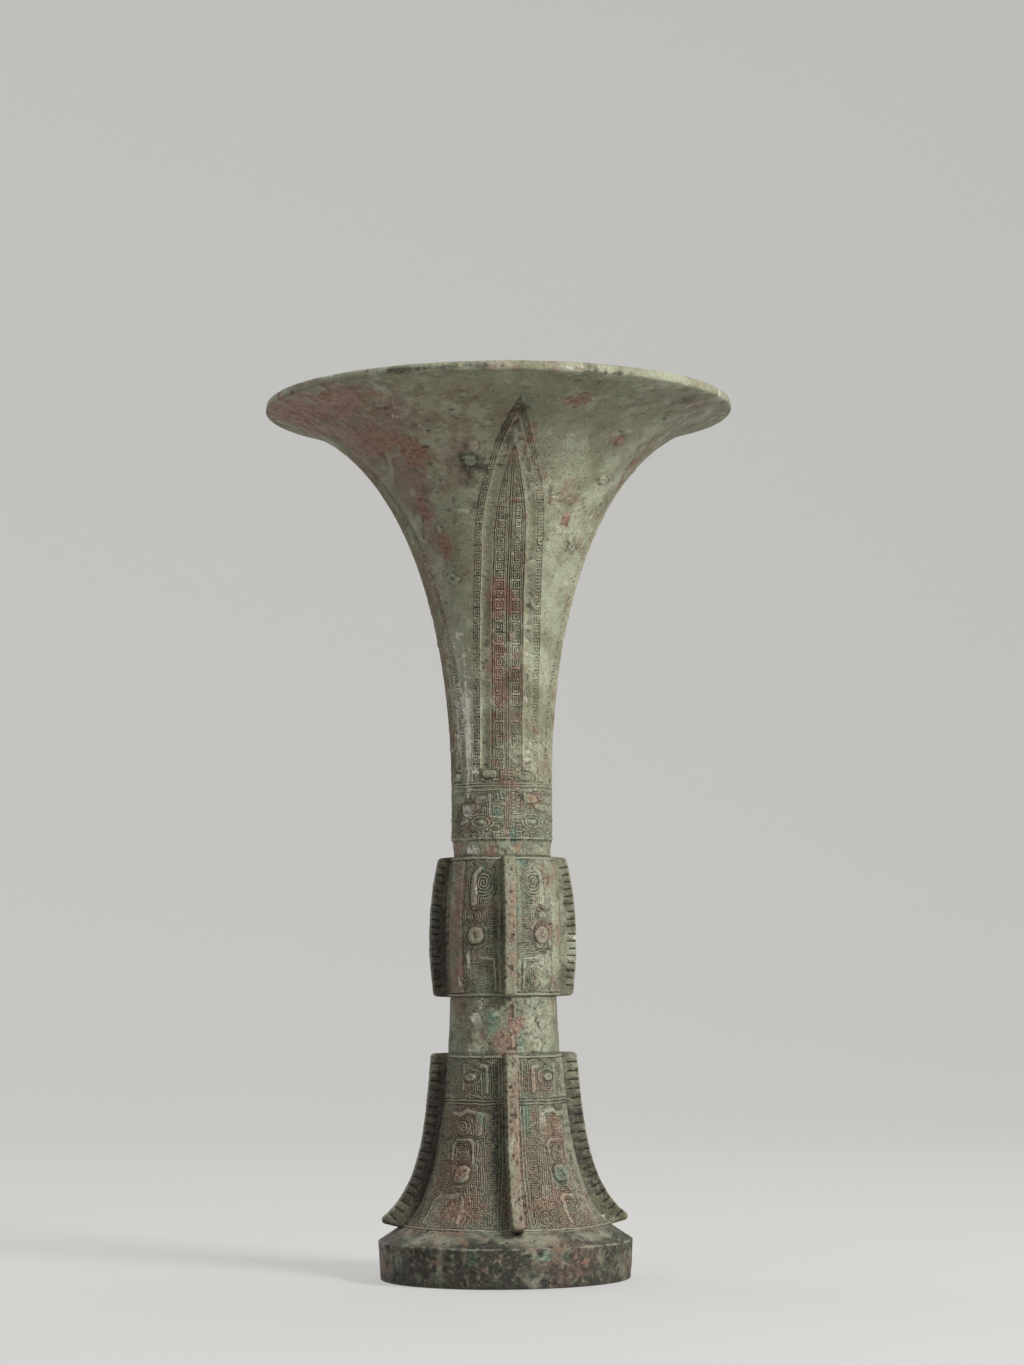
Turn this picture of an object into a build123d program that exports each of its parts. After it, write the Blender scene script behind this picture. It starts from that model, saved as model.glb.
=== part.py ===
from build123d import *
import os
from math import atan2, cos, degrees, radians, sin

# A bronze gu, the tall trumpet-mouthed wine beaker, standing on its foot ring.
# Millimetres, +Z up, origin at the centre of the standing face.
# The front flange is on -Y, the right flange on +X.

# Heights of the sections, from the standing face up
RING_HEIGHT = 13.4  # upright face of the foot ring
LEDGE_HEIGHT = 4.9  # sloping ledge on top of the ring
FOOT_HEIGHT = 59.1  # flaring decorated foot
WAIST_HEIGHT = 19.0  # plain waist
BULB_HEIGHT = 48.6  # swollen middle register
COLLAR_HEIGHT = 5.2  # plain recess above the bulb
BAND_HEIGHT = 18.1  # decorated neck band
TRUMPET_HEIGHT = 136.7  # flaring mouth, up to the lip

# Radii and widths
FOOT_BASE_RADIUS = 36.0  # where the foot meets the ledge
LEDGE_WIDTH = 8.0  # from the foot out to the ring's edge
RING_TAPER = 0.8  # the ring is this much smaller at the floor
WAIST_BASE_RADIUS = 19.2
WAIST_TOP_RADIUS = 18.4
FOOT_STEP = 0.6  # the foot's top edge stands proud of the waist
BULB_STEP = 1.0  # the bulb's bottom edge stands proud of the waist
BULB_SHOULDER = 1.4  # the bulb's top edge stands proud of the collar
BULB_SWELL = 1.5  # middle of the bulb beyond its ends
NECK_RADIUS = 17.5  # outside of the trumpet and the neck band where they meet
COLLAR_RECESS = 0.7  # the collar is this much slimmer than the neck
RIM_RADIUS = 82.3  # outside of the lip

# Wall thicknesses
WALL = 2.8  # trumpet, neck, waist and foot
BULB_WALL = 3.6
RING_WALL = 4.2
FLOOR_WALL = 2.4  # floor of the cup

# The trumpet's outer curve, as the directions and lengths of its two handles
NECK_HANDLE = 49.7  # straight up from the neck
LIP_ANGLE = 9.9  # degrees above level, at the lip
LIP_HANDLE = 53.4
LIP_HEIGHT = 3.8  # the lip's outer face
LIP_SLOPE = 0.5  # how far that face leans in
BORE_HANDLE_GAIN = 0.5  # the bore's handles are longer by this much of the wall

# The foot's outer curve
FOOT_BASE_ANGLE = 37.8  # degrees above level, at the ledge
FOOT_BASE_HANDLE = 14.3
FOOT_TOP_LEAN = 4.4  # degrees outward from upright, at the waist
FOOT_TOP_HANDLE = 25.0

# Lap joints between the sections
LAP_LENGTH = 4.0
SEAT_DEPTH = 3.0  # how deep the foot sits in its ring
JOINT_GAP = 0.05  # clearance round every spigot, tongue and spacer
LAP_END_GAP = 0.3  # clearance past the end of a spigot
DISH_DEPTH = 3.0  # hollow of the cup's floor
DISH_MARGIN = 0.6  # clear of the waist's bore

# Flanges: four on the bulb and four on the foot
FLANGE_ANGLES = {"front": -90.0, "right": 0.0, "back": 90.0, "left": 180.0}
FLANGE_THICKNESS = 4.2
FLANGE_CORNER = 1.6  # rounding of the flange's corners
BULB_FLANGE_TOP_REACH = 4.2  # how far the flange stands out of the bulb
BULB_FLANGE_MID_REACH = 5.4
BULB_FLANGE_BASE_REACH = 4.9
FOOT_FLANGE_TOP_REACH = 5.7  # how far the flange stands out of the foot
FOOT_FLANGE_TIP_REACH = 7.4
FOOT_FLANGE_TIP_RISE = 2.6  # height of the flange's tip above the ledge's edge
FOOT_FLANGE_TIP_ANGLE = 35.7  # degrees above level, at the tip
FOOT_FLANGE_TIP_HANDLE = 17.6
FOOT_FLANGE_TOP_LEAN = 4.6  # degrees outward from upright, at the top
FOOT_FLANGE_TOP_HANDLE = 25.4
TONGUE_DEPTH = 1.4  # how deep the flange's root is let into the wall
TONGUE_SHOULDER = 1.0  # the root is this much thinner than the flange, each side
TONGUE_INSET = 5.0  # the root stops short of the flange's ends
ROOT_OVERLAP = 1.0  # where the flange and its root run into each other
BULB_NOTCH_PITCH = 2.6
FOOT_NOTCH_PITCH = 3.0
BULB_NOTCH_LENGTH = 3.6  # in from the outer edge
FOOT_NOTCH_LENGTH = 4.3
NOTCH_WIDTH = 0.9
NOTCH_WEB = 2.2  # metal left between the notches of the two sides
NOTCH_START = 3.4  # first and last notch from the ends of the edge

# Eye bosses of the masks, two to a mask, one mask in front and one behind
MASK_ANGLES = (-90.0, 90.0)
EYE_RISE = 1.3
EYE_ROOT = 0.7  # sunk into the wall
EYE_TAPER = 32.0
BULB_EYE_RADIUS = 3.3
BULB_EYE_SPREAD = 34.0  # degrees each side of the mask's middle
BULB_EYE_DISTANCE = 21.2  # along the bulb's outline from its bottom edge
FOOT_EYE_RADIUS = 3.2
FOOT_EYE_SPREAD = 41.0
FOOT_EYE_DISTANCE = 21.5  # along the foot's outline from the ledge

# Bronze spacers that held the casting cores apart, left in the trumpet's wall
SPACER_SIZE = 4.8
SPACER_COUNT = 4  # at each level
SPACER_DISTANCES = (93.7, 125.4)  # along the trumpet's outline from the neck
SPACER_FIRST_ANGLES = (35.3, 46.1)  # degrees, one for each level

# Rounded edges
LIP_ROUND = 0.9
RING_TOP_ROUND = 1.0
RING_BASE_ROUND = 0.6
BULB_EDGE_ROUND = 0.5

# Levels and radii that follow from the sizes above
LEDGE_BASE = RING_HEIGHT
FOOT_BASE = LEDGE_BASE + LEDGE_HEIGHT
WAIST_BASE = FOOT_BASE + FOOT_HEIGHT
BULB_BASE = WAIST_BASE + WAIST_HEIGHT
COLLAR_BASE = BULB_BASE + BULB_HEIGHT
BAND_BASE = COLLAR_BASE + COLLAR_HEIGHT
TRUMPET_BASE = BAND_BASE + BAND_HEIGHT
RIM_LEVEL = TRUMPET_BASE + TRUMPET_HEIGHT
FLOOR_LEVEL = BULB_BASE + LAP_LENGTH
RING_RADIUS = FOOT_BASE_RADIUS + LEDGE_WIDTH
FOOT_TOP_RADIUS = WAIST_BASE_RADIUS + FOOT_STEP
BULB_BASE_RADIUS = WAIST_TOP_RADIUS + BULB_STEP
COLLAR_RADIUS = NECK_RADIUS - COLLAR_RECESS
BULB_TOP_RADIUS = COLLAR_RADIUS + BULB_SHOULDER
BULB_MID_RADIUS = (BULB_BASE_RADIUS + BULB_TOP_RADIUS) / 2 + BULB_SWELL
BULB_MID = BULB_BASE + BULB_HEIGHT / 2
LAP_WALL = WALL / 2
FOOT_BORE_RADIUS = FOOT_BASE_RADIUS - WALL / sin(radians(FOOT_BASE_ANGLE))
TONGUE_WIDTH = FLANGE_THICKNESS - 2 * TONGUE_SHOULDER
NOTCH_DEPTH = (FLANGE_THICKNESS - NOTCH_WEB) / 2


def handle(start, angle, length):
    # The point at a distance from start, at an angle in degrees above level
    return (start[0] + length * cos(radians(angle)), start[1] + length * sin(radians(angle)))


def curve(low, low_angle, low_handle, high, high_angle, high_handle):
    # A smooth outline from a low point to a high one, each end leaving along its own handle
    return Bezier(low, handle(low, low_angle, low_handle), handle(high, high_angle, high_handle), high)


def surface_plane(outline, distance, azimuth, sink):
    # A plane lying on the turned surface, at a distance along its outline, sunk a little into it
    point = outline.position_at(distance, position_mode=PositionMode.LENGTH)
    along = outline.tangent_at(distance, position_mode=PositionMode.LENGTH)
    radius = point.X - along.Y * sink
    height = point.Y + along.X * sink
    east = cos(radians(azimuth))
    north = sin(radians(azimuth))
    return Plane(
        origin=(radius * east, radius * north, height),
        x_dir=(-north, east, 0),
        z_dir=(along.Y * east, along.Y * north, -along.X),
    )


def flange_plane(azimuth):
    # The upright plane through the axis at an azimuth, with radius across and height up
    east = cos(radians(azimuth))
    north = sin(radians(azimuth))
    return Plane(origin=(0, 0, 0), x_dir=(east, north, 0), z_dir=(north, -east, 0))


def strip(outline, inside, outside):
    # The region along an outline, from a distance inside it to a distance outside it
    inner = Pos(-inside, 0) * outline
    outer = Pos(outside, 0) * outline
    with BuildSketch() as region:
        with BuildLine():
            add(inner)
            add(outer)
            Line(inner @ 0, outer @ 0)
            Line(inner @ 1, outer @ 1)
        make_face()
    return region.sketch


def root_strip(outline, inside, low, high):
    # The part of such a region that a flange's root fills, between two heights
    with BuildSketch() as region:
        add(strip(outline, inside, ROOT_OVERLAP))
        with Locations((RIM_RADIUS / 2, (low + high) / 2)):
            Rectangle(RIM_RADIUS, high - low, mode=Mode.INTERSECT)
    return region.sketch


def flange_shape(outline, edge):
    # The side view of a flange, from just inside the wall's outline out to the flange's own edge
    inner = Pos(-ROOT_OVERLAP, 0) * outline
    with BuildSketch() as region:
        with BuildLine():
            add(inner)
            add(edge)
            Line(inner @ 0, edge @ 0)
            Line(inner @ 1, edge @ 1)
        make_face()
        for end in (edge @ 0, edge @ 1):
            fillet(region.vertices().sort_by_distance(end)[0], FLANGE_CORNER)
    return region.sketch


def notch_places(edge, pitch):
    # Evenly spaced places along a flange's outer edge, each square to the edge
    count = int((edge.length - 2 * NOTCH_START) / pitch) + 1
    first = (edge.length - (count - 1) * pitch) / 2
    places = []
    for index in range(count):
        distance = first + index * pitch
        point = edge.position_at(distance, position_mode=PositionMode.LENGTH)
        along = edge.tangent_at(distance, position_mode=PositionMode.LENGTH)
        places.append(Location((point.X, point.Y, 0), (0, 0, degrees(atan2(-along.X, along.Y)))))
    return places


def flange(azimuth, shape, wall, root, places, notch_length):
    # A thin fin with notched sides, cut to the wall that it stands on, with a root let into that wall
    with BuildPart() as blade:
        with BuildSketch(flange_plane(azimuth)):
            add(shape)
        extrude(amount=FLANGE_THICKNESS / 2, both=True)
        with BuildSketch(Plane.XZ):
            add(wall)
        revolve(axis=Axis.Z, mode=Mode.SUBTRACT)
        with BuildSketch(flange_plane(azimuth)):
            add(root)
        extrude(amount=TONGUE_WIDTH / 2, both=True)
        for side in (-1, 1):
            with BuildSketch(flange_plane(azimuth).offset(side * FLANGE_THICKNESS / 2)):
                with Locations(*places):
                    Rectangle(2 * notch_length, NOTCH_WIDTH)
            extrude(amount=-side * NOTCH_DEPTH, mode=Mode.SUBTRACT)
    return blade.part


def write(part, name):
    # Label a finished piece and save it under the same name
    part.label = name
    export_step(part, f"parts/{name}.step")


os.makedirs("parts", exist_ok=True)

# Outlines, drawn as radius and height
lip_outside = (RIM_RADIUS, RIM_LEVEL - LIP_HEIGHT)
lip_inside = (RIM_RADIUS - LIP_SLOPE, RIM_LEVEL)
trumpet_outline = curve(
    (NECK_RADIUS, TRUMPET_BASE), 90, NECK_HANDLE, lip_outside, 180 + LIP_ANGLE, LIP_HANDLE
)
trumpet_bore_outline = curve(
    (NECK_RADIUS - WALL, TRUMPET_BASE),
    90,
    NECK_HANDLE + BORE_HANDLE_GAIN * WALL,
    lip_inside,
    180 + LIP_ANGLE,
    LIP_HANDLE + BORE_HANDLE_GAIN * WALL,
)
foot_outline = curve(
    (FOOT_BASE_RADIUS, FOOT_BASE),
    180 - FOOT_BASE_ANGLE,
    FOOT_BASE_HANDLE,
    (FOOT_TOP_RADIUS, WAIST_BASE),
    FOOT_TOP_LEAN - 90,
    FOOT_TOP_HANDLE,
)
foot_bore_outline = curve(
    (FOOT_BORE_RADIUS, FOOT_BASE),
    180 - FOOT_BASE_ANGLE,
    FOOT_BASE_HANDLE,
    (FOOT_TOP_RADIUS - WALL, WAIST_BASE),
    FOOT_TOP_LEAN - 90,
    FOOT_TOP_HANDLE,
)
bulb_outline = ThreePointArc(
    (BULB_BASE_RADIUS, BULB_BASE), (BULB_MID_RADIUS, BULB_MID), (BULB_TOP_RADIUS, COLLAR_BASE)
)
bulb_flange_edge = ThreePointArc(
    (BULB_BASE_RADIUS + BULB_FLANGE_BASE_REACH, BULB_BASE),
    (BULB_MID_RADIUS + BULB_FLANGE_MID_REACH, BULB_MID),
    (BULB_TOP_RADIUS + BULB_FLANGE_TOP_REACH, COLLAR_BASE),
)
foot_flange_edge = curve(
    (FOOT_BASE_RADIUS + FOOT_FLANGE_TIP_REACH, FOOT_BASE + FOOT_FLANGE_TIP_RISE),
    180 - FOOT_FLANGE_TIP_ANGLE,
    FOOT_FLANGE_TIP_HANDLE,
    (FOOT_TOP_RADIUS + FOOT_FLANGE_TOP_REACH, WAIST_BASE),
    FOOT_FLANGE_TOP_LEAN - 90,
    FOOT_FLANGE_TOP_HANDLE,
)

# Side views of the flanges, of their roots and of the slots that take the roots
bulb_root_span = (BULB_BASE + TONGUE_INSET, COLLAR_BASE - TONGUE_INSET)
foot_root_span = (FOOT_BASE + TONGUE_INSET, WAIST_BASE - TONGUE_INSET)
bulb_flange_shape = flange_shape(bulb_outline, bulb_flange_edge)
foot_flange_shape = flange_shape(foot_outline, foot_flange_edge)
bulb_root = root_strip(bulb_outline, TONGUE_DEPTH, *bulb_root_span)
foot_root = root_strip(foot_outline, TONGUE_DEPTH, *foot_root_span)
bulb_slot = root_strip(bulb_outline, TONGUE_DEPTH + JOINT_GAP, *bulb_root_span)
foot_slot = root_strip(foot_outline, TONGUE_DEPTH + JOINT_GAP, *foot_root_span)

# Foot ring: upright band with a sloping ledge, rebated for the foot
with BuildPart() as foot_ring:
    with BuildSketch(Plane.XZ):
        with BuildLine():
            Polyline(
                (RING_RADIUS - RING_TAPER, 0),
                (RING_RADIUS, LEDGE_BASE),
                (FOOT_BASE_RADIUS, FOOT_BASE),
                (FOOT_BASE_RADIUS, FOOT_BASE - SEAT_DEPTH),
                (FOOT_BORE_RADIUS, FOOT_BASE - SEAT_DEPTH),
                (FOOT_BORE_RADIUS, FOOT_BASE - SEAT_DEPTH - WALL),
                (RING_RADIUS - RING_TAPER - RING_WALL, LEDGE_BASE / 2),
                (RING_RADIUS - RING_TAPER - RING_WALL, 0),
                close=True,
            )
        make_face()
    revolve(axis=Axis.Z)
    outer_edges = foot_ring.edges().filter_by(GeomType.CIRCLE).sort_by(SortBy.RADIUS)
    fillet(outer_edges[-1], RING_TOP_ROUND)
    fillet(foot_ring.faces().sort_by(Axis.Z)[0].outer_wire().edges(), RING_BASE_ROUND)
write(foot_ring.part, "foot_ring")

# Foot: flaring shell seated in the ring, with a socket for the waist and the flanges' slots
foot_eye_planes = [
    surface_plane(foot_outline, FOOT_EYE_DISTANCE, mask + side * FOOT_EYE_SPREAD, EYE_ROOT)
    for mask in MASK_ANGLES
    for side in (-1, 1)
]
with BuildPart() as foot:
    with BuildSketch(Plane.XZ):
        with BuildLine():
            add(foot_outline)
            add(foot_bore_outline)
            Line((FOOT_TOP_RADIUS, WAIST_BASE), (FOOT_TOP_RADIUS - WALL, WAIST_BASE))
            Polyline(
                (FOOT_BASE_RADIUS, FOOT_BASE),
                (FOOT_BASE_RADIUS - JOINT_GAP, FOOT_BASE),
                (FOOT_BASE_RADIUS - JOINT_GAP, FOOT_BASE - SEAT_DEPTH),
                (FOOT_BORE_RADIUS, FOOT_BASE - SEAT_DEPTH),
                (FOOT_BORE_RADIUS, FOOT_BASE),
            )
        make_face()
    revolve(axis=Axis.Z)
    with BuildSketch(*foot_eye_planes):
        Circle(FOOT_EYE_RADIUS)
    extrude(amount=EYE_ROOT + EYE_RISE, taper=EYE_TAPER)
    with BuildSketch(Plane.XY.offset(WAIST_BASE)):
        Circle(WAIST_BASE_RADIUS - LAP_WALL + JOINT_GAP)
    extrude(amount=-LAP_LENGTH - LAP_END_GAP, mode=Mode.SUBTRACT)
    for angle in FLANGE_ANGLES.values():
        with BuildSketch(flange_plane(angle)):
            add(foot_slot)
        extrude(amount=TONGUE_WIDTH / 2 + JOINT_GAP, both=True, mode=Mode.SUBTRACT)
write(foot.part, "foot")

# Waist: plain tube with a spigot at each end
with BuildPart() as waist:
    with BuildSketch(Plane.XZ):
        with BuildLine():
            Polyline(
                (WAIST_BASE_RADIUS, WAIST_BASE),
                (WAIST_TOP_RADIUS, BULB_BASE),
                (WAIST_TOP_RADIUS - LAP_WALL, BULB_BASE),
                (WAIST_TOP_RADIUS - LAP_WALL, FLOOR_LEVEL),
                (WAIST_TOP_RADIUS - WALL, FLOOR_LEVEL),
                (WAIST_BASE_RADIUS - WALL, WAIST_BASE - LAP_LENGTH),
                (WAIST_BASE_RADIUS - LAP_WALL, WAIST_BASE - LAP_LENGTH),
                (WAIST_BASE_RADIUS - LAP_WALL, WAIST_BASE),
                close=True,
            )
        make_face()
    revolve(axis=Axis.Z)
write(waist.part, "waist")

# Cup floor: dished disc on top of the waist, held down by a shelf inside the bulb
dish_radius = WAIST_TOP_RADIUS - WALL - DISH_MARGIN
dish_curve = (dish_radius**2 + DISH_DEPTH**2) / (2 * DISH_DEPTH)
floor_top = FLOOR_LEVEL + FLOOR_WALL
with BuildPart() as cup_floor:
    with BuildSketch(Plane.XZ):
        with BuildLine():
            RadiusArc((0, FLOOR_LEVEL - DISH_DEPTH), (dish_radius, FLOOR_LEVEL), -dish_curve)
            Polyline(
                (dish_radius, FLOOR_LEVEL),
                (WAIST_TOP_RADIUS - LAP_WALL, FLOOR_LEVEL),
                (WAIST_TOP_RADIUS - LAP_WALL, floor_top),
                (dish_radius, floor_top),
            )
            RadiusArc((dish_radius, floor_top), (0, floor_top - DISH_DEPTH), dish_curve)
            Line((0, floor_top - DISH_DEPTH), (0, FLOOR_LEVEL - DISH_DEPTH))
        make_face()
    revolve(axis=Axis.Z)
write(cup_floor.part, "cup_floor")

# Bulb: swollen shell with a socket at each end, the masks' eyes and the flanges' slots
bulb_eye_planes = [
    surface_plane(bulb_outline, BULB_EYE_DISTANCE, mask + side * BULB_EYE_SPREAD, EYE_ROOT)
    for mask in MASK_ANGLES
    for side in (-1, 1)
]
with BuildPart() as bulb:
    with BuildSketch(Plane.XZ):
        add(strip(bulb_outline, BULB_WALL, 0))
    revolve(axis=Axis.Z)
    for end_face in (bulb.faces().sort_by(Axis.Z)[0], bulb.faces().sort_by(Axis.Z)[-1]):
        fillet(end_face.outer_wire().edges(), BULB_EDGE_ROUND)
    with BuildSketch(*bulb_eye_planes):
        Circle(BULB_EYE_RADIUS)
    extrude(amount=EYE_ROOT + EYE_RISE, taper=EYE_TAPER)
    with BuildSketch(Plane.XY.offset(BULB_BASE)):
        Circle(WAIST_TOP_RADIUS - LAP_WALL + JOINT_GAP)
    extrude(amount=LAP_LENGTH + FLOOR_WALL, mode=Mode.SUBTRACT)
    with BuildSketch(Plane.XY.offset(COLLAR_BASE)):
        Circle(COLLAR_RADIUS - LAP_WALL + JOINT_GAP)
    extrude(amount=-LAP_LENGTH - LAP_END_GAP, mode=Mode.SUBTRACT)
    for angle in FLANGE_ANGLES.values():
        with BuildSketch(flange_plane(angle)):
            add(bulb_slot)
        extrude(amount=TONGUE_WIDTH / 2 + JOINT_GAP, both=True, mode=Mode.SUBTRACT)
write(bulb.part, "bulb")

# Neck band: plain collar below, decorated band above, a spigot down and a socket up
with BuildPart() as neck_band:
    with BuildSketch(Plane.XZ):
        with BuildLine():
            Polyline(
                (COLLAR_RADIUS, COLLAR_BASE),
                (COLLAR_RADIUS, BAND_BASE),
                (NECK_RADIUS, BAND_BASE),
                (NECK_RADIUS, TRUMPET_BASE),
                (NECK_RADIUS - LAP_WALL + JOINT_GAP, TRUMPET_BASE),
                (NECK_RADIUS - LAP_WALL + JOINT_GAP, TRUMPET_BASE - LAP_LENGTH - LAP_END_GAP),
                (COLLAR_RADIUS - WALL, TRUMPET_BASE - LAP_LENGTH - LAP_END_GAP),
                (COLLAR_RADIUS - WALL, COLLAR_BASE - LAP_LENGTH),
                (COLLAR_RADIUS - LAP_WALL, COLLAR_BASE - LAP_LENGTH),
                (COLLAR_RADIUS - LAP_WALL, COLLAR_BASE),
                close=True,
            )
        make_face()
    revolve(axis=Axis.Z)
write(neck_band.part, "neck_band")

# Trumpet: the whole wall first, with its spigot and its rounded lip
with BuildPart() as trumpet_wall:
    with BuildSketch(Plane.XZ):
        with BuildLine():
            add(trumpet_outline)
            add(trumpet_bore_outline)
            Line(lip_outside, lip_inside)
            Polyline(
                (NECK_RADIUS, TRUMPET_BASE),
                (NECK_RADIUS - LAP_WALL, TRUMPET_BASE),
                (NECK_RADIUS - LAP_WALL, TRUMPET_BASE - LAP_LENGTH),
                (NECK_RADIUS - WALL, TRUMPET_BASE - LAP_LENGTH),
                (NECK_RADIUS - WALL, TRUMPET_BASE),
            )
        make_face()
    revolve(axis=Axis.Z)
    fillet(trumpet_wall.edges().filter_by(GeomType.CIRCLE).sort_by(Axis.Z)[-2:], LIP_ROUND)

# The spacers sit in square holes through that wall
spacer_planes = [
    surface_plane(trumpet_outline, distance, first_angle + index * 360 / SPACER_COUNT, WALL / 2)
    for distance, first_angle in zip(SPACER_DISTANCES, SPACER_FIRST_ANGLES)
    for index in range(SPACER_COUNT)
]
with BuildPart() as mouth_trumpet:
    add(trumpet_wall.part)
    with BuildSketch(*spacer_planes):
        Rectangle(SPACER_SIZE + 2 * JOINT_GAP, SPACER_SIZE + 2 * JOINT_GAP)
    extrude(amount=WALL, both=True, mode=Mode.SUBTRACT)
write(mouth_trumpet.part, "mouth_trumpet")

with BuildPart() as mouth_spacers:
    add(trumpet_wall.part)
    with BuildSketch(*spacer_planes):
        Rectangle(SPACER_SIZE, SPACER_SIZE)
    extrude(amount=WALL, both=True, mode=Mode.INTERSECT)
write(mouth_spacers.part, "mouth_spacers")

# Bulb flanges
bulb_inside = strip(bulb_outline, BULB_BASE_RADIUS / 2, JOINT_GAP)
bulb_notches = notch_places(bulb_flange_edge, BULB_NOTCH_PITCH)
for name, azimuth in FLANGE_ANGLES.items():
    fin = flange(azimuth, bulb_flange_shape, bulb_inside, bulb_root, bulb_notches, BULB_NOTCH_LENGTH)
    write(fin, f"bulb_flange_{name}")

# Foot flanges: the same, following the flare of the foot out to a pointed tip
foot_inside = strip(foot_outline, FOOT_TOP_RADIUS / 2, JOINT_GAP)
foot_notches = notch_places(foot_flange_edge, FOOT_NOTCH_PITCH)
for name, azimuth in FLANGE_ANGLES.items():
    fin = flange(azimuth, foot_flange_shape, foot_inside, foot_root, foot_notches, FOOT_NOTCH_LENGTH)
    write(fin, f"foot_flange_{name}")
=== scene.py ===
from itertools import product
from math import cos, radians, sin

import bpy
import numpy as np
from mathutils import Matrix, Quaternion, Vector


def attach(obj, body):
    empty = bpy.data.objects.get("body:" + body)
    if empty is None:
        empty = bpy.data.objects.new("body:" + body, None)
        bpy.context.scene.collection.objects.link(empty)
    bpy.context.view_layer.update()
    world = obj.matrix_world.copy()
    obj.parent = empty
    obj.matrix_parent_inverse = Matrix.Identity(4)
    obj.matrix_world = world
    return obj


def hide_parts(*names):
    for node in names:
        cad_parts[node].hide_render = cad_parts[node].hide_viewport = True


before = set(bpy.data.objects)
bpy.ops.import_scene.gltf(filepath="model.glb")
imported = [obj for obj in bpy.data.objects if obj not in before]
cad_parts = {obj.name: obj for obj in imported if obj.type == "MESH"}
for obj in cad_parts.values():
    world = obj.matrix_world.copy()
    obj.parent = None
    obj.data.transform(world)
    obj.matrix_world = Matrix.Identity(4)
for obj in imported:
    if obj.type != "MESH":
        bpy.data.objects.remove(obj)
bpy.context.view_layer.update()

# Looks of the bronze gu: cast walls with worn relief, notched flanges and a mottled patina.
# The vessel's sizes are in millimetres until a mesh is made; the stage, lights and camera are in metres.
# +Z is up and the front flange is on -Y. Angles are in degrees.
MM = 0.001
FULL_TURN = 360.0
HALF_TURN = 180.0
QUARTER = 90.0
FRONT = -90.0
FLANGE_SIDES = {side: FRONT + QUARTER * k for k, side in enumerate(("front", "right", "back", "left"))}

# Levels of the sections
LEDGE_BASE = 13.4
FOOT_BASE = 18.3
WAIST_BASE = 77.4
BULB_BASE = 96.4
BULB_MIDDLE = 120.7
FLOOR_BASE = 100.4
COLLAR_BASE = 145.0
BAND_BASE = 150.2
TRUMPET_BASE = 168.3
RIM_LEVEL = 305.0

# Radii and walls
RING_RADIUS = 44.0
RING_TAPER = 0.8
RING_WALL = 4.2
FOOT_RADIUS = 36.0
FOOT_BORE = 31.43
FOOT_TOP_RADIUS = 19.8
WAIST_RADIUS = 19.2
WAIST_TOP_RADIUS = 18.4
BULB_RADIUS = 19.4
BULB_MID_RADIUS = 20.3
BULB_TOP_RADIUS = 18.2
COLLAR_RADIUS = 16.8
NECK_RADIUS = 17.5
RIM_RADIUS = 82.3
LIP_HEIGHT = 3.8
LIP_SLOPE = 0.5
WALL = 2.8
LAP_WALL = 1.4
LAP = 4.0
BULB_WALL = 3.6
FLOOR_WALL = 2.4
DISH_DEPTH = 3.0
SEAT_DEPTH = 3.0
BULB_FLANGE_RADII = (24.3, 25.7, 22.4)
FOOT_FLANGE_LOW = (43.4, 20.9)
FOOT_FLANGE_TOP_RADIUS = 25.5

# Gaps between neighbouring sections, and how far a socket is wider and deeper than its spigot
JOINT_GAP = 0.03
HAIR_GAP = 0.02
SOCKET_FIT = 0.05
SOCKET_DEEPER = 0.3

# Directions in which the curved outlines leave their lower and upper ends, and the handles of the curves
FLARE_ANGLES = (90.0, 189.9)
FLARE_HANDLES = (49.7, 53.4)
BORE_HANDLES = (51.1, 54.8)
FOOT_ANGLES = (142.2, -85.6)
FOOT_HANDLES = (14.3, 25.0)
FOOT_FLANGE_ANGLES = (144.3, -85.4)
FOOT_FLANGE_HANDLES = (17.6, 25.4)
CURVE_POINTS = 2001
BOW_POINTS = 801


# Outlines as lists of radius and height
def bezier(p0, p1, p2, p3):
    t = np.linspace(0.0, 1.0, CURVE_POINTS)[:, None]
    ends = (1 - t) ** 3 * np.array(p0) + t**3 * np.array(p3)
    return ends + 3 * (1 - t) ** 2 * t * np.array(p1) + 3 * (1 - t) * t**2 * np.array(p2)


def handle(start, angle, length):
    return (start[0] + length * cos(radians(angle)), start[1] + length * sin(radians(angle)))


def curve(low, high, angles, handles):
    return bezier(low, *map(handle, (low, high), angles, handles), high)


def bow(low, middle, high):
    # A shallow curve through three points, close to a circle's arc
    t = np.linspace(0.0, 1.0, BOW_POINTS)[:, None]
    low, middle, high = np.array(low), np.array(middle), np.array(high)
    return low * (1 - t) * (1 - 2 * t) + middle * 4 * t * (1 - t) + high * t * (2 * t - 1)


def distances(points):
    return np.concatenate(([0.0], np.cumsum(np.hypot(*np.diff(points, axis=0).T))))


def place(points, lengths):
    # Radius, height and outward direction at distances along an outline
    total = distances(points)
    slope_r = np.interp(lengths, total, np.gradient(points[:, 0], total))
    slope_z = np.interp(lengths, total, np.gradient(points[:, 1], total))
    size = np.hypot(slope_r, slope_z)
    radius = np.interp(lengths, total, points[:, 0])
    height = np.interp(lengths, total, points[:, 1])
    return np.stack((radius, height, slope_z / size, -slope_r / size), axis=1)


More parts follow.
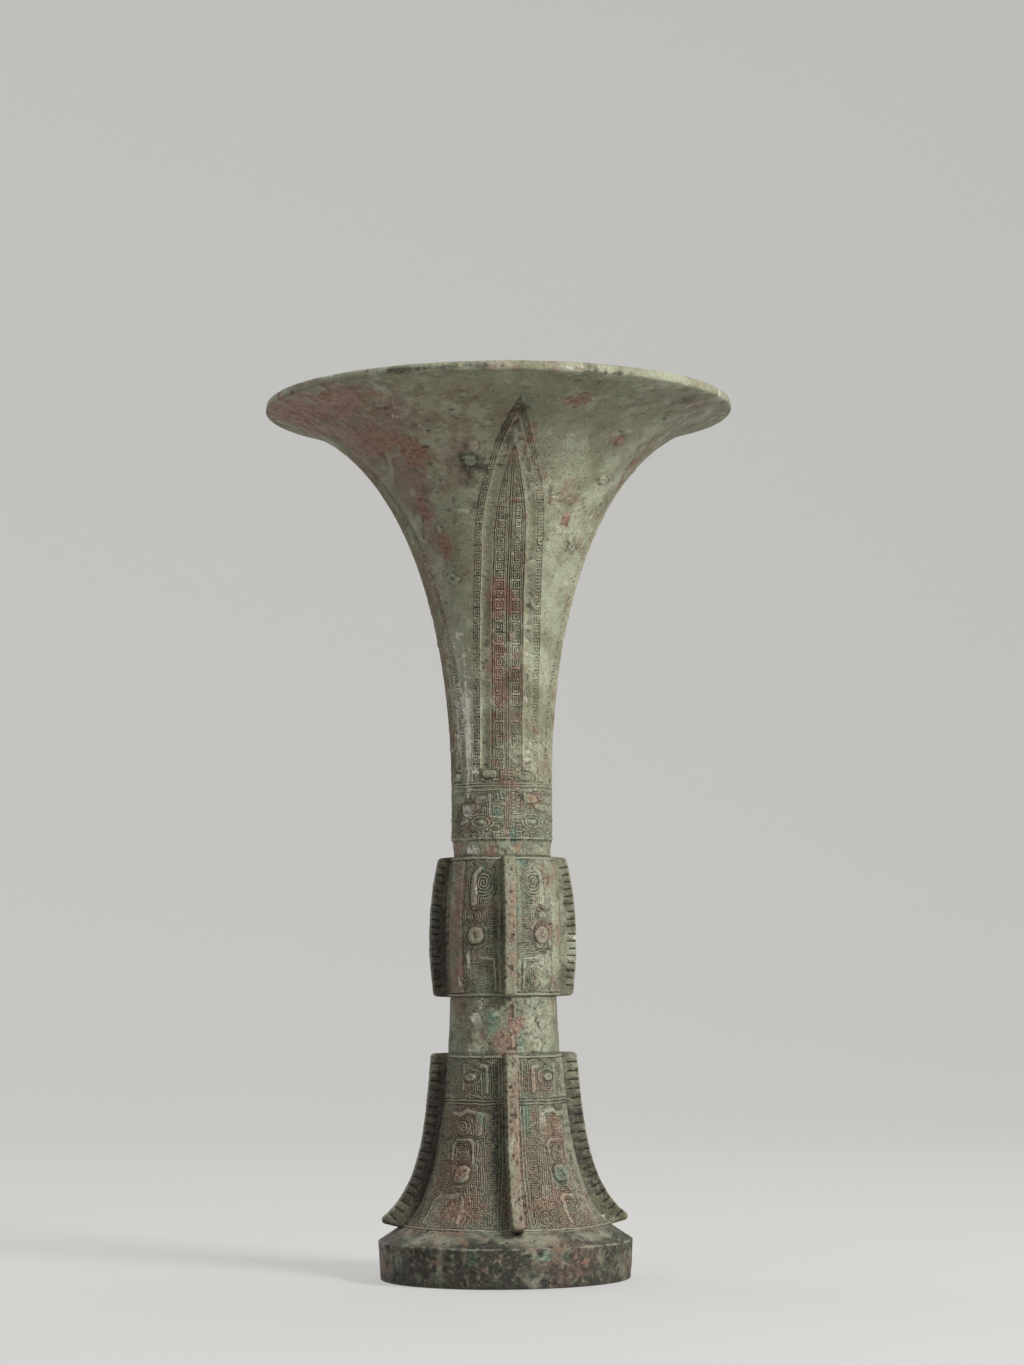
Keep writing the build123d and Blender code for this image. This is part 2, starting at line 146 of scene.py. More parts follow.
RIM_EDGE = (RIM_RADIUS, RIM_LEVEL - LIP_HEIGHT)
RIM_INSIDE = (RIM_RADIUS - LIP_SLOPE, RIM_LEVEL)
FOOT_TOP = (FOOT_TOP_RADIUS, WAIST_BASE)
FOOT_BORE_TOP = (FOOT_TOP_RADIUS - WALL, WAIST_BASE)
FOOT_EDGE_TOP = (FOOT_FLANGE_TOP_RADIUS, WAIST_BASE)
TRUMPET_LINE = curve((NECK_RADIUS, TRUMPET_BASE), RIM_EDGE, FLARE_ANGLES, FLARE_HANDLES)
BORE_LINE = curve((NECK_RADIUS - WALL, TRUMPET_BASE), RIM_INSIDE, FLARE_ANGLES, BORE_HANDLES)
FOOT_LINE = curve((FOOT_RADIUS, FOOT_BASE), FOOT_TOP, FOOT_ANGLES, FOOT_HANDLES)
FOOT_BORE_LINE = curve((FOOT_BORE, FOOT_BASE), FOOT_BORE_TOP, FOOT_ANGLES, FOOT_HANDLES)
FOOT_EDGE_LINE = curve(FOOT_FLANGE_LOW, FOOT_EDGE_TOP, FOOT_FLANGE_ANGLES, FOOT_FLANGE_HANDLES)
BULB_LEVELS = (BULB_BASE, BULB_MIDDLE, COLLAR_BASE)
BULB_LINE = bow(*zip((BULB_RADIUS, BULB_MID_RADIUS, BULB_TOP_RADIUS), BULB_LEVELS))
BULB_EDGE_LINE = bow(*zip(BULB_FLANGE_RADII, BULB_LEVELS))


# Fields: smooth steps, distances to drawn paths, and lumpy noise
def smooth(x, low, high):
    t = np.clip((x - low) / (high - low), 0.0, 1.0)
    return t * t * (3.0 - 2.0 * t)


def within(distance, half, soft=0.14):
    return 1.0 - smooth(distance, half - soft, half + soft)


def between(x, low, high, soft=0.14):
    return smooth(x, low - soft, low + soft) * (1.0 - smooth(x, high - soft, high + soft))


def boxed(x, v, box):
    # 1 inside a box that is given by its two sides and its two levels
    left, right, low, high = box
    return between(x, left, right) * between(v, low, high)


def turned_from(turn, start):
    # Degrees from a start, between -180 and 180
    return (turn - start + HALF_TURN) % FULL_TURN - HALF_TURN


def polar(radius, azimuth, height):
    # A point from its radius, azimuth and height
    angle = radians(azimuth)
    return np.array((radius * cos(angle), radius * sin(angle), height))


FAR = 1e6


def path_distance(x, y, points, stretch):
    # Distance to a path whose first coordinate is stretched to millimetres
    best = np.full(np.broadcast(x, y).shape, FAR)
    for (x0, y0), (x1, y1) in zip(points[:-1], points[1:]):
        run = (x1 - x0) * stretch
        rise = y1 - y0
        across = (x - x0) * stretch
        t = np.clip((across * run + (y - y0) * rise) / (run * run + rise * rise), 0.0, 1.0)
        best = np.minimum(best, np.hypot(across - t * run, y - y0 - t * rise))
    return best


# A turn that keeps the noise's grid from lining up with the vessel
NOISE_TURN = np.array(Quaternion((0.48, 0.62, 0.37, 0.50)).normalized().to_matrix())
NOISE_CELLS = 24


def lumps(points, size, seed):
    # Smooth noise from 0 to 1 with lumps of about that size; each use has a seed of its own
    table = np.random.default_rng(seed).random((NOISE_CELLS, NOISE_CELLS, NOISE_CELLS))
    spot = points @ NOISE_TURN / size
    cell = np.floor(spot).astype(int)
    part = spot - cell
    part = part * part * (3.0 - 2.0 * part)
    total = np.zeros(points.shape[:-1])
    for corner in product((0, 1), repeat=3):
        weight = np.ones(points.shape[:-1])
        for axis in range(3):
            weight = weight * (part[..., axis] if corner[axis] else 1.0 - part[..., axis])
        index = (cell + np.array(corner)) % NOISE_CELLS
        total += weight * table[index[..., 0], index[..., 1], index[..., 2]]
    return total


def layered(points, size, seed, layers=3):
    # Noise from 0 to 1 in layers, each half as large and half as strong as the one before
    total = np.zeros(points.shape[:-1])
    share = 0.5
    for layer in range(layers):
        total += share * lumps(points, size / 2**layer, seed + layer)
        share *= 0.5
    return total / (1.0 - 0.5**layers)


def soften(grid, passes):
    # Spread a grid of heights over its neighbours, round the turn and along the outline
    for _ in range(passes):
        grid = 0.5 * grid + 0.25 * (np.roll(grid, 1, axis=1) + np.roll(grid, -1, axis=1))
        padded = np.concatenate((grid[:1], grid, grid[-1:]))
        grid = 0.5 * grid + 0.25 * (padded[:-2] + padded[2:])
    return grid


# Heights of the relief, and the spacing of its thinnest lines
MOTIF_RISE = 0.34
LINE_RISE = 0.34
GROUND_SINK = 0.32
LINE_PITCH = 0.80
LINE_HALF = 0.20
LINE_SOFT = 0.11


def spirals(x, y, wide, tall, pitch=LINE_PITCH):
    # Distance to squared spirals wound in cells of that size; every second cell is turned over
    column, row = np.floor(x / wide), np.floor(y / tall)
    flip = np.where((column + row) % 2 == 0, 1.0, -1.0)
    across = (x - (column + 0.5) * wide) * flip
    up = (y - (row + 0.5) * tall) * flip
    longer = np.maximum(np.abs(up) - 0.5 * np.maximum(tall - wide, 0.0), 0.0)
    upper = np.maximum(np.abs(across), longer) / pitch
    lower = np.maximum(np.abs(across - pitch / 2), longer) / pitch + 0.5
    turns = np.where(up >= 0.0, upper, lower)
    return np.abs(turns - np.round(turns)) * pitch


def ground(x, y, cell):
    # Thunder pattern of thin raised lines
    return within(spirals(x, y, cell, cell), LINE_HALF, LINE_SOFT)


def ruled(x):
    # Thin raised lines, evenly spaced along x
    return within(np.abs((x / LINE_PITCH) % 1.0 - 0.5) * LINE_PITCH, LINE_HALF, LINE_SOFT)


def contours(away, count):
    # Thin raised lines that follow the edge of a motif, out to a number of them
    return ruled(away) * (away > 0.0) * (away < count * LINE_PITCH)


def centre_lines(side):
    # A thin line down a middle and one on each side of it
    return within(side, 0.18, 0.1) + between(side, 0.60, 0.98, 0.1)


def lined(rise, where, lines):
    # A register with thin lines in place of its pattern, where asked
    return rise * (1.0 - where) + where * (LINE_RISE * lines - GROUND_SINK)


def filled(x, y, away, cell):
    # Background of a register: lines round each motif, and spirals where there is room between them
    far = smooth(away, 2.0 * LINE_PITCH, 2.0 * LINE_PITCH + 0.1)
    return np.maximum(contours(away, 2), ground(x, y, cell) * far)


def coil(x, y, squeeze, pitch):
    # Distance from a coil's middle, and raised lines wound round it
    up = y * squeeze
    reach = np.cbrt(np.abs(x) ** 3 + np.abs(up) ** 3)
    turns = reach / pitch + np.arctan2(up, x) / (2.0 * np.pi)
    return reach, within(np.abs(turns - np.round(turns)) * pitch, 0.22 * pitch, LINE_SOFT)


def strokes(x, v, motifs, stretch):
    # Distance outside the nearest stroke, negative within it
    outside = np.full(np.broadcast(x, v).shape, FAR)
    for path, half in motifs:
        outside = np.minimum(outside, path_distance(x, v, path, stretch) - half)
    return outside


def patterned(x, v, stretch, stray, motifs, clear, cell, coils=(), pitch=LINE_PITCH):
    # A register: flat raised strokes and coils of thin lines, with more lines between them.
    # A stroke is a path and half its width; a coil is a place, a level, a size and a squeeze.
    outside = strokes(x, v, motifs, stretch) + stray
    away = np.minimum(outside, clear)
    wound, bed = 0.0, 0.0
    for middle, level, size, squeeze in coils:
        reach, lines = coil((x - middle) * stretch, v - level, squeeze, pitch)
        edge = reach + 0.6 * stray - size
        wound = np.maximum(wound, lines * (edge < 0.0))
        bed = np.maximum(bed, within(edge, 0.0, 0.5))
        away = np.minimum(away, edge)
    thin = np.maximum(filled(x * stretch, v, away, cell), wound * (outside > 0.3))
    top = within(outside, 0.0, 0.22)
    swell = 0.80 + 0.20 * smooth(-outside, 0.0, 0.6)
    sunk = (LINE_RISE + 0.06) * thin - GROUND_SINK + 0.10 * bed
    return MOTIF_RISE * swell * top + sunk * (1.0 - top)


def unsteady(surface, seed):
    # How far the edges of the strokes stray
    return 1.2 * (layered(surface, 3.8, seed, 2) - 0.5)


def cleared(rise, away, size):
    # A register with a sunk ring left round a boss of that size
    ring = size + 0.8
    return rise * (1.0 - within(away, ring, 0.2)) - GROUND_SINK * between(away, size, ring, 0.2)


def dome(away, size, height):
    return height * np.sqrt(np.clip(1.0 - (away / size) ** 2, 0.0, 1.0))


def ring_boss(away, size, height):
    # A round eye: a thick rounded ring about a shallow dish with a faint middle
    ring = dome(away - 0.60 * size, 0.42 * size, height)
    dish = 0.45 * height * within(away, 0.55 * size, 0.2) + 0.20 * height * within(away, 0.18 * size, 0.2)
    return np.maximum(ring, dish)


# Meshes
SHARP_ANGLE = 62.0


def linked(name, data):
    item = bpy.data.objects.new(name, data)
    bpy.context.scene.collection.objects.link(item)
    return item


def smooth_mesh(name, vertices, faces, material):
    mesh = bpy.data.meshes.new(name)
    mesh.from_pydata(vertices, [], faces)
    mesh.polygons.foreach_set("use_smooth", np.ones(len(faces), bool))
    mesh.materials.append(material)
    return mesh


def marked(vertices, found):
    # Marks for the paint at each point: the patches of stain and of painted light and shade, and what is
    # found from the first point on
    marks = stains_and_painted_light(vertices)
    for mark, values in found:
        drawn = np.zeros(len(vertices))
        drawn[: values.size] = values.ravel()
        marks[mark] = np.clip(marks.get(mark, 0.0) + drawn, 0.0, 1.0)
    return marks


def finish_mesh(name, vertices, faces, found, material, node):
    mesh = smooth_mesh(name, (vertices * MM).tolist(), faces, material)
    for mark, values in marked(vertices, found).items():
        attribute = mesh.attributes.new(mark, "FLOAT", "POINT")
        attribute.data.foreach_set("value", np.ascontiguousarray(values, np.float32))
    mesh.set_sharp_from_angle(angle=radians(SHARP_ANGLE))
    piece = linked(name, mesh)
    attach(piece, "root")
    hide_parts(node)


def grid_faces(rows, columns, closed_rows):
    # Four-sided faces of a grid that closes round its columns and, if asked, its rows
    row = np.arange(rows if closed_rows else rows - 1)[:, None]
    column = np.arange(columns)[None, :]
    above = (row + 1) % rows
    after = (column + 1) % columns
    pairs = ((row, column), (row, after), (above, after), (above, column))
    corners = [i * columns + j for i, j in pairs]
    return np.stack(np.broadcast_arrays(*corners), axis=-1).reshape(-1, 4).tolist()


def capped_faces(rows, columns):
    # Faces of a grid that closes round its columns, with a cap on each end
    last = (rows - 1) * columns
    caps = [list(range(columns))[::-1], [last + j for j in range(columns)]]
    return grid_faces(rows, columns, False) + caps


def spun(rows, turn, rise=0.0):
    # Points of a turned surface, raised along its outward direction
    radius = rows[:, 0:1] + rows[:, 2:3] * rise
    height = rows[:, 1:2] + rows[:, 3:4] * rise
    angle = np.radians(turn)
    return np.stack((radius * np.cos(angle), radius * np.sin(angle), height + 0.0 * angle), axis=-1)


def stepped(corners, step):
    # Rows of an outline that is given by its corners, split into short steps
    points = [np.array(corners[0], float)]
    for start, end in zip(corners[:-1], corners[1:]):
        start, end = np.array(start, float), np.array(end, float)
        count = max(1, int(np.hypot(*(end - start)) / step))
        points += [start + (end - start) * (i + 1) / count for i in range(count)]
    points = np.array(points)
    along = np.gradient(points, axis=0)
    size = np.maximum(np.hypot(along[:, 0], along[:, 1]), 1e-6)
    return np.column_stack((points, along[:, 1] / size, -along[:, 0] / size))


def relief_marks(rise, fine, broad):
    # How far each point lies in a hollow and how far it stands out, each from 0 to 1
    level = soften(np.minimum(rise, 2.0 * MOTIF_RISE), broad)
    near = soften(rise, fine)
    hollow = np.clip((level - rise) / 0.20, 0.0, 1.0)
    proud = np.clip((near - level) / 0.13, 0.0, 1.0) * (1.0 - 0.55 * smooth(near, 0.45, 0.80))
    return hollow, proud


def granular(surface):
    # Skin of an old casting: lumps, grains and small pits, with finer grains below the flare
    skin = layered(surface, 3.2, 11) - 0.5
    below = smooth(TRUMPET_BASE - surface[..., 2], -2.0, 2.0)
    grains = lumps(surface, 0.9, 13) - 0.5 + 1.5 * below * (lumps(surface, 0.55, 15) - 0.5)
    pits = smooth(lumps(surface, 1.5, 23), 0.72, 0.90)
    return 1.6 * skin + 0.9 * grains - 1.4 * pits


def crusted(surface):
    # Where corrosion has built up over the relief, from 0 to 1
    broad = layered(surface, 15.0, 17, 4)
    return smooth(broad + 0.22 * (lumps(surface, 1.3, 19) - 0.5), 0.56, 0.66)


def turned(name, node, outer, turn, rise, rest, material, grain=0.10, crust_gain=1.0, extra=()):
    # A closed wall: outer rows with relief, then the rest of the outline back to the start
    rest_turn = np.linspace(turn[-1], turn[0], len(rest))
    flat = spun(outer, turn)
    crust = crusted(flat) * crust_gain
    heap = layered(flat, 2.2, 29, 2) - 0.35
    rise = rise * (1.0 - 0.35 * crust) + 0.36 * crust * heap + grain * granular(flat)
    surface = spun(outer, turn, rise)
    plain = spun(rest, rest_turn)
    hollow, proud = relief_marks(rise, 1, 24)
    vertices = np.concatenate((surface, plain)).reshape(-1, 3)
    found = [("hollow", hollow), ("proud", proud), ("crust", crust), *extra]
    faces = grid_faces(len(outer) + len(rest), turn.shape[1], True)
    finish_mesh(name, vertices, faces, found, material, node)


def swept(rows, columns):
    # Angles and points of an evenly divided wall, before its relief
    turn = np.tile(FRONT + np.arange(columns) * FULL_TURN / columns, (len(rows), 1))
    return turn, spun(rows, turn)


def from_flange(turn):
    # Degrees from the nearest flange
    return (turn + QUARTER / 2) % QUARTER - QUARTER / 2


def from_mask(turn):
    # Degrees from the middle of the nearer mask, without sign
    return np.abs((turn - FRONT + QUARTER) % (2 * QUARTER) - QUARTER)


def wandering(surface, amount, seed):
    # Unsteadiness of a hand-cut pattern, slow and quick
    slow = layered(surface, 7.0, seed, 2) - 0.5
    quick = lumps(surface, 1.6, seed + 5) - 0.5
    return amount * (2.0 * slow + 0.7 * quick)


def worn(surface, seed, least):
    # How much of the relief is left, from least to 1
    return least + (1.0 - least) * smooth(layered(surface, 17.0, seed), 0.30, 0.62)


# Patches of colour, among them painted light and shade: degrees right of the camera, height, spread of each,
# strength
VIEW_TURN = -96.5
PATCHES = {
    "red": [
        (-77, 298, 22, 6, 1.2), (-48, 297.5, 20, 5, 0.9), (-58, 287, 16, 6, 1.1), (-37, 281.6, 9, 6, 1.2),
        (-45.7, 263.2, 6, 4, 1.2), (-37, 251.6, 6, 6, 1.0), (-58, 232, 12, 10, 0.6), (-62, 216, 10, 8, 0.6),
        (-2, 234, 14, 9, 0.9), (-3, 205, 12, 22, 0.6), (12, 286, 4.5, 5, 0.9), (23.6, 294.8, 5, 2.2, 1.0),
        (41.8, 259.8, 5, 3, 0.9), (52.6, 285.7, 4, 2.4, 0.9), (57.8, 273.9, 3, 2, 0.8),
        (30, 265.5, 4, 2, 0.7), (76, 282, 8, 12, 0.7), (39, 191, 12, 6, 0.6), (38, 164, 16, 4, 0.9),
        (-14, 156, 12, 4, 0.7),
        (-12, 147, 14, 3, 1.0), (18, 148, 10, 3, 1.0), (-71, 148, 12, 4, 0.9),
        (-50, 128, 16, 16, 0.7), (-46, 106, 12, 8, 0.8),
        (8, 120, 6, 22, 0.8), (52, 138, 12, 8, 0.7), (48, 118, 10, 5, 0.8), (72, 126, 14, 20, 0.6),
        (1, 80.6, 13, 5, 1.2), (9.5, 87, 4.5, 11, 1.2), (14, 88, 10, 3.5, 1.0), (24, 90, 8, 3, 0.5),
        (30, 66, 26, 8, 0.7), (-42, 38, 26, 12, 0.9), (-30, 26, 18, 6, 1.1), (-48, 54, 14, 7, 0.9),
        (36, 28, 22, 8, 1.0), (50, 52, 14, 8, 0.8), (10, 45, 6, 22, 0.9), (56, 46, 8, 5, 0.9),
        (6.5, 20, 4, 3, 0.9), (-24, 16, 14, 2, 0.7), (-26, 8, 10, 5, 0.7), (-12, 6, 12, 4, 0.5),
        (38, 6, 6, 5, 0.9), (68, 8, 12, 6, 0.5), (-70, 6, 12, 6, 0.6), (170, 290, 40, 10, 0.8),
        (140, 120, 30, 20, 0.6), (200, 50, 30, 18, 0.7), (150, 85, 20, 6, 0.8), (220, 200, 20, 40, 0.5),
    ],
    "green": [
        (14, 152, 7, 4, 1.0), (-6, 160, 6, 5, 0.9), (20, 143, 8, 3, 1.0), (2, 149, 7, 3, 1.0),
        (22, 156, 6, 3, 0.8), (18.5, 80, 8, 5, 1.2), (-12, 88, 12, 6, 1.1), (-6, 83, 6, 3, 0.9),
        (14, 91, 6, 3, 0.7), (20, 58, 8, 14, 0.9), (16, 126, 6, 8, 0.8),
        (47.5, 35.5, 8, 5, 1.4), (-20, 52, 10, 10, 0.6), (-8, 30, 10, 10, 0.6), (18, 11, 12, 3, 0.9),
        (-14, 10, 8, 4, 0.6),
        (-37.7, 240.4, 6, 3, 1.0), (18, 226, 4, 6, 0.9), (26, 188, 5, 6, 0.9), (-16, 214, 5, 20, 0.6),
        (-60, 292, 8, 4, 0.6), (8, 293, 12, 5, 0.6), (150, 150, 20, 6, 0.8), (210, 85, 24, 6, 0.8),
        (120, 45, 20, 14, 0.7), (-22, 140, 6, 4, 0.9),
    ],
    # Pale crust, and painted light where the light falls on the right: the flare, collar, waist, bulb and
    # right flange, and the lip's right band
    "pale": [
        (55, 252, 30, 34, 0.9), (46, 215, 26, 26, 1.0), (40, 178, 30, 14, 0.6), (70, 147, 40, 3, 0.9),
        (46, 88, 32, 9, 1.0), (-29, 89, 8, 6, 1.0), (-34, 78.6, 14, 2.6, 1.0), (45, 303, 60, 2.6, 0.7),
        (-44, 196, 24, 36, 1.4), (-20, 303.5, 26, 1.2, 0.6), (10, 16.5, 80, 2.2, 1.0),
        (62, 118, 16, 26, 0.8), (96.5, 120, 12, 28, 1.0),
        (180, 240, 60, 60, 0.5), (190, 16.5, 90, 2.2, 1.0), (200, 303, 80, 2.4, 0.7), (-78, 10, 10, 4, 0.6),
        (64, 8, 14, 5, 0.5), (-56, 10, 6, 5, 0.9),
    ],
    # White crust, and painted highlights: the bright streaks on the left of the stem, on the bulb's right eye
    # and along the lip's right band
    "chalk_and_painted_highlight": [
        (-38.5, 192, 3.4, 17, 1.5), (-42, 181, 2.6, 11, 1.4), (-57, 188, 3.2, 9, 1.3), (-42, 171, 3, 8, 1.4),
        (-46, 192, 20, 30, 0.75), (-44, 160.6, 10, 2.2, 1.5),
        (-39, 146.6, 10, 1.8, 1.1), (-29.6, 89.3, 7, 7, 0.5), (-35, 79.2, 14, 2.6, 0.5),
        (-48.3, 101.9, 3, 2.4, 0.9),
        (-36, 109.3, 3, 3, 0.8), (-25.7, 134, 3, 5, 0.7), (43, 118.5, 5, 2, 0.9), (38, 107, 9, 4, 0.6),
        (40, 303.6, 60, 1.8, 0.3), (30, 188, 6, 20, 0.5), (150, 190, 4, 18, 1.0), (215, 88, 8, 4, 1.0),
    ],
    # Dark stains, and painted shade: the cast shadow left of the front flange on bulb and foot, the shaded
    # left flanges, under the lip on the right and low on the ring
    "dark_stain_and_painted_shade": [
        (10, 294, 10, 5, 0.5), (4, 284, 6, 9, 0.6), (-14, 270, 5, 16, 0.6), (-10, 278, 5, 6, 0.7),
        (-20, 302.5, 22, 1.6, 1.0), (27, 268, 3, 3, 0.7), (35, 262, 3, 6, 0.4), (54, 251.7, 3, 2.4, 1.0),
        (60, 299, 40, 2.5, 0.4), (-4, 120, 7, 22, 0.8), (-6, 45, 8, 24, 1.1), (0, 5, 60, 6, 0.4),
        (40, 4, 40, 6, 0.35), (6.5, 18.6, 3.5, 2.2, 1.0), (160, 270, 30, 20, 0.5), (-82, 120, 12, 28, 1.3),
        (-82, 48, 13, 34, 1.3), (94, 48, 16, 40, 0.75), (47.5, 35, 7, 4, 0.8),
    ],
    "brown": [
        (-52, 284, 40, 26, 0.9), (-52, 240, 26, 26, 0.5), (-45, 160, 34, 14, 0.6), (12, 158, 20, 12, 0.5),
        (-44, 122, 30, 26, 0.9), (50, 128, 24, 22, 0.5), (-32, 83, 9, 4, 1.0), (-42, 44, 36, 26, 1.0),
        (38, 36, 34, 24, 0.9), (10, 48, 7, 30, 1.2), (180, 200, 60, 90, 0.5), (190, 60, 60, 60, 0.6),
        (-60, 8, 20, 8, 0.7),
    ],
}


def stains_and_painted_light(vertices):
    # Strength of each kind of patch at each point
    turn = np.degrees(np.arctan2(vertices[:, 1], vertices[:, 0])) - VIEW_TURN
    found = {}
    for kind, patches in PATCHES.items():
        total = np.zeros(len(vertices))
        for right, height, wide, tall, strength in patches:
            across = turned_from(turn, right) / wide
            up = (vertices[:, 2] - height) / tall
            total = np.maximum(total, strength * np.exp(-(across**2) - up**2))
        found[kind] = total
    return found


# Blisters of corrosion with sunk middles: degrees right of the camera, height, size, rise
TRUMPET_WARTS = [
    (57.8, 273.9, 1.6, 0.50), (30.1, 265.5, 1.9, 0.40), (33.0, 264.0, 1.2, 0.35), (54.0, 251.7, 1.8, 0.45),
    (51.0, 253.5, 1.3, 0.40), (-12.5, 277.4, 2.4, 0.40), (-10.2, 282.1, 2.2, 0.40), (-37.7, 240.4, 2.5, 0.40),
    (30.5, 232.0, 2.7, 0.40), (27.0, 252.0, 1.4, 0.35), (39.0, 256.0, 1.6, 0.45), (46.0, 258.5, 1.3, 0.40),
    (-39.0, 256.5, 1.5, 0.35), (-48.0, 270.0, 1.8, 0.30), (49.0, 287.5, 1.4, 0.40), (140.0, 260.0, 2.2, 0.40),
    (170.0, 240.0, 1.8, 0.40), (215.0, 270.0, 2.4, 0.40), (240.0, 235.0, 1.8, 0.40),
    (120.0, 225.0, 2.0, 0.40),
]
WAIST_WARTS = [
    (36.7, 80.0, 2.1, 0.55), (44.0, 86.5, 1.5, 0.40), (-30.0, 88.8, 2.6, 0.35), (150.0, 86.0, 2.0, 0.40),
]


def warts(surface, line, spots):
    # Heights of the blisters on a turned surface with that outline
    total = np.zeros(surface.shape[:-1])
    wobble = 0.55 + 0.9 * lumps(surface, 1.5, 157)
    for right, height, size, rise in spots:
        radius = np.interp(height, line[:, 1], line[:, 0])
        centre = polar(radius, VIEW_TURN + right, height)
        share = np.linalg.norm(surface - centre, axis=-1) / size * wobble
        swell = smooth(-share, -1.0, -0.6) - 0.55 * smooth(-share, -0.6, -0.2)
        total = np.maximum(total, rise * swell)
    return total


# Mouth trumpet: four tall blades of thunder pattern on a smooth flare
BLADE_HALF = 12.6
BLADE_REACH = 13.0
BLADE_SHOULDER = 89.0
BLADE_TIP = 143.0
BLADE_BAND = 3.2
BLADE_SMOOTH = 3.4
BLADE_COLUMNS = 140
PANEL_COLUMNS = 42
TRUMPET_STEP = 0.24
ORNAMENT_END = 141.0
EVEN_FROM = 138.0
EVEN_TO = 156.0
PLAIN_ROWS = 34
LIP_START = 0.9
LIP_STEP = 0.34
LIP_LENGTH = 5.0
BLADE_WANDER = 0.22
BORE_STEP = 2.6
BORE_ROWS = 70
SPIRAL_STEPS = np.linspace(0.0, 200.0, 1001)
SPIRAL_TALL = 4.6 - 1.8 * smooth(SPIRAL_STEPS, 25.0, 95.0)
SPIRAL_COUNT = np.cumsum(np.gradient(SPIRAL_STEPS) / SPIRAL_TALL)


def blade_half(along):
    taper = np.clip((along - BLADE_SHOULDER) / (BLADE_TIP - BLADE_SHOULDER), 0.0, 1.0)
    return BLADE_HALF * (1.0 - taper**1.6)


def blade_zones(u, along):
    # Each point's place in a blade: across it, in from its edge, in from the spiral field's edge
    half = blade_half(along)
    side = np.abs(u)
    return side, half - side, half - BLADE_BAND - BLADE_SMOOTH - side


def blade_field(u, along):
    # The spiral field in a blade's middle, and the pattern bands along its edges
    side, inset, field = blade_zones(u, along)
    tall = np.interp(along, SPIRAL_STEPS, SPIRAL_TALL)
    count = np.interp(along, SPIRAL_STEPS, SPIRAL_COUNT)
    spiral = within(spirals(side - 1.1, count * tall, 3.5, tall, 0.76), LINE_HALF, LINE_SOFT)
    spiral = spiral * smooth(side, 1.0, 1.15) * smooth(field, 1.45, 1.6)
    middle = centre_lines(side) * (field > 0.0)
    frame_line = between(field, 0.95, 1.30, 0.1) + between(field, 0.12, 0.52, 0.1)
    band = within(spirals(inset - 0.45, along, 2.5, 2.7, 0.78), LINE_HALF, LINE_SOFT)
    upper = smooth(along, 110.0, 114.0)
    band = (band * (1.0 - upper) + ruled(inset) * upper) * between(inset, 0.5, 2.9)
    lines = between(inset, 0.0, 0.42) + between(inset, 2.95, 3.3)
    return np.maximum.reduce([spiral, middle, frame_line, band, lines])


def hook_shape(u, along):
    # Flat bosses beside the field at the foot of a blade, above 0 inside them
    across = (np.abs(np.abs(u) - 6.3) / 2.6) ** 3.0
    return 1.0 - across - (np.abs(along - 4.2 + 0.06 * u) / 1.4) ** 2.6


def blade_relief(u, along):
    # A blade with its field, smooth channels and pattern bands, over a low border
    side, inset, field = blade_zones(u, along)
    inside = smooth(inset, -0.15, 0.15) * (along < BLADE_TIP)
    plain = smooth(inset, 3.25, 3.5) * smooth(-field, -0.1, 0.15) * smooth(along, 6.2, 6.8)
    across = np.clip((inset - BLADE_BAND) / BLADE_SMOOTH, 0.0, 1.0)
    channel = 0.10 + 0.50 * (1.0 - (2.0 * across - 1.0) ** 2)
    low = ground(side, along, 2.6) * (1.0 - smooth(along, 6.4, 6.8)) * (side < 9.6)
    thin = np.maximum(blade_field(u, along) * smooth(along, 6.0, 6.6), low)
    deep = GROUND_SINK + 0.10 * smooth(field, -0.3, 0.3)
    rise = inside * (1.0 - plain) * ((deep + 0.04) * thin - deep) - channel * inside * plain
    hook = hook_shape(u, along)
    rise = rise * (1.0 - smooth(hook, -0.6, -0.3)) - GROUND_SINK * between(hook, -0.5, -0.1, 0.15)
    rise = rise + 0.36 * smooth(hook, -0.05, 0.35)
    border = np.maximum(between(along, 0.25, 0.7) + between(along, 1.2, 1.6), centre_lines(side))
    return np.where(along < 1.9, 0.40 * border - GROUND_SINK, rise)


def trumpet_turn(along, radius):
    # Columns close together on the blades and wider between them, evening out at the lip
    blade = np.degrees(BLADE_REACH / radius)[:, None]
    blade_part = np.linspace(-1.0, 1.0, BLADE_COLUMNS)[None, :] * blade
    panel_part = np.linspace(0.0, 1.0, PANEL_COLUMNS + 2)[None, 1:-1]
    panel_part = blade + panel_part * (QUARTER - 2.0 * blade)
    quarter = np.concatenate((blade_part, panel_part), axis=1)
    columns = quarter.shape[1]
    first = QUARTER * (BLADE_COLUMNS - 1) / (2 * columns)
    even = (np.arange(columns)[None, :] / columns) * QUARTER - first
    mix = smooth(along, EVEN_FROM, EVEN_TO)[:, None]
    quarter = quarter * (1.0 - mix) + even * mix
    return np.concatenate([quarter + FRONT + QUARTER * k for k in range(4)], axis=1)


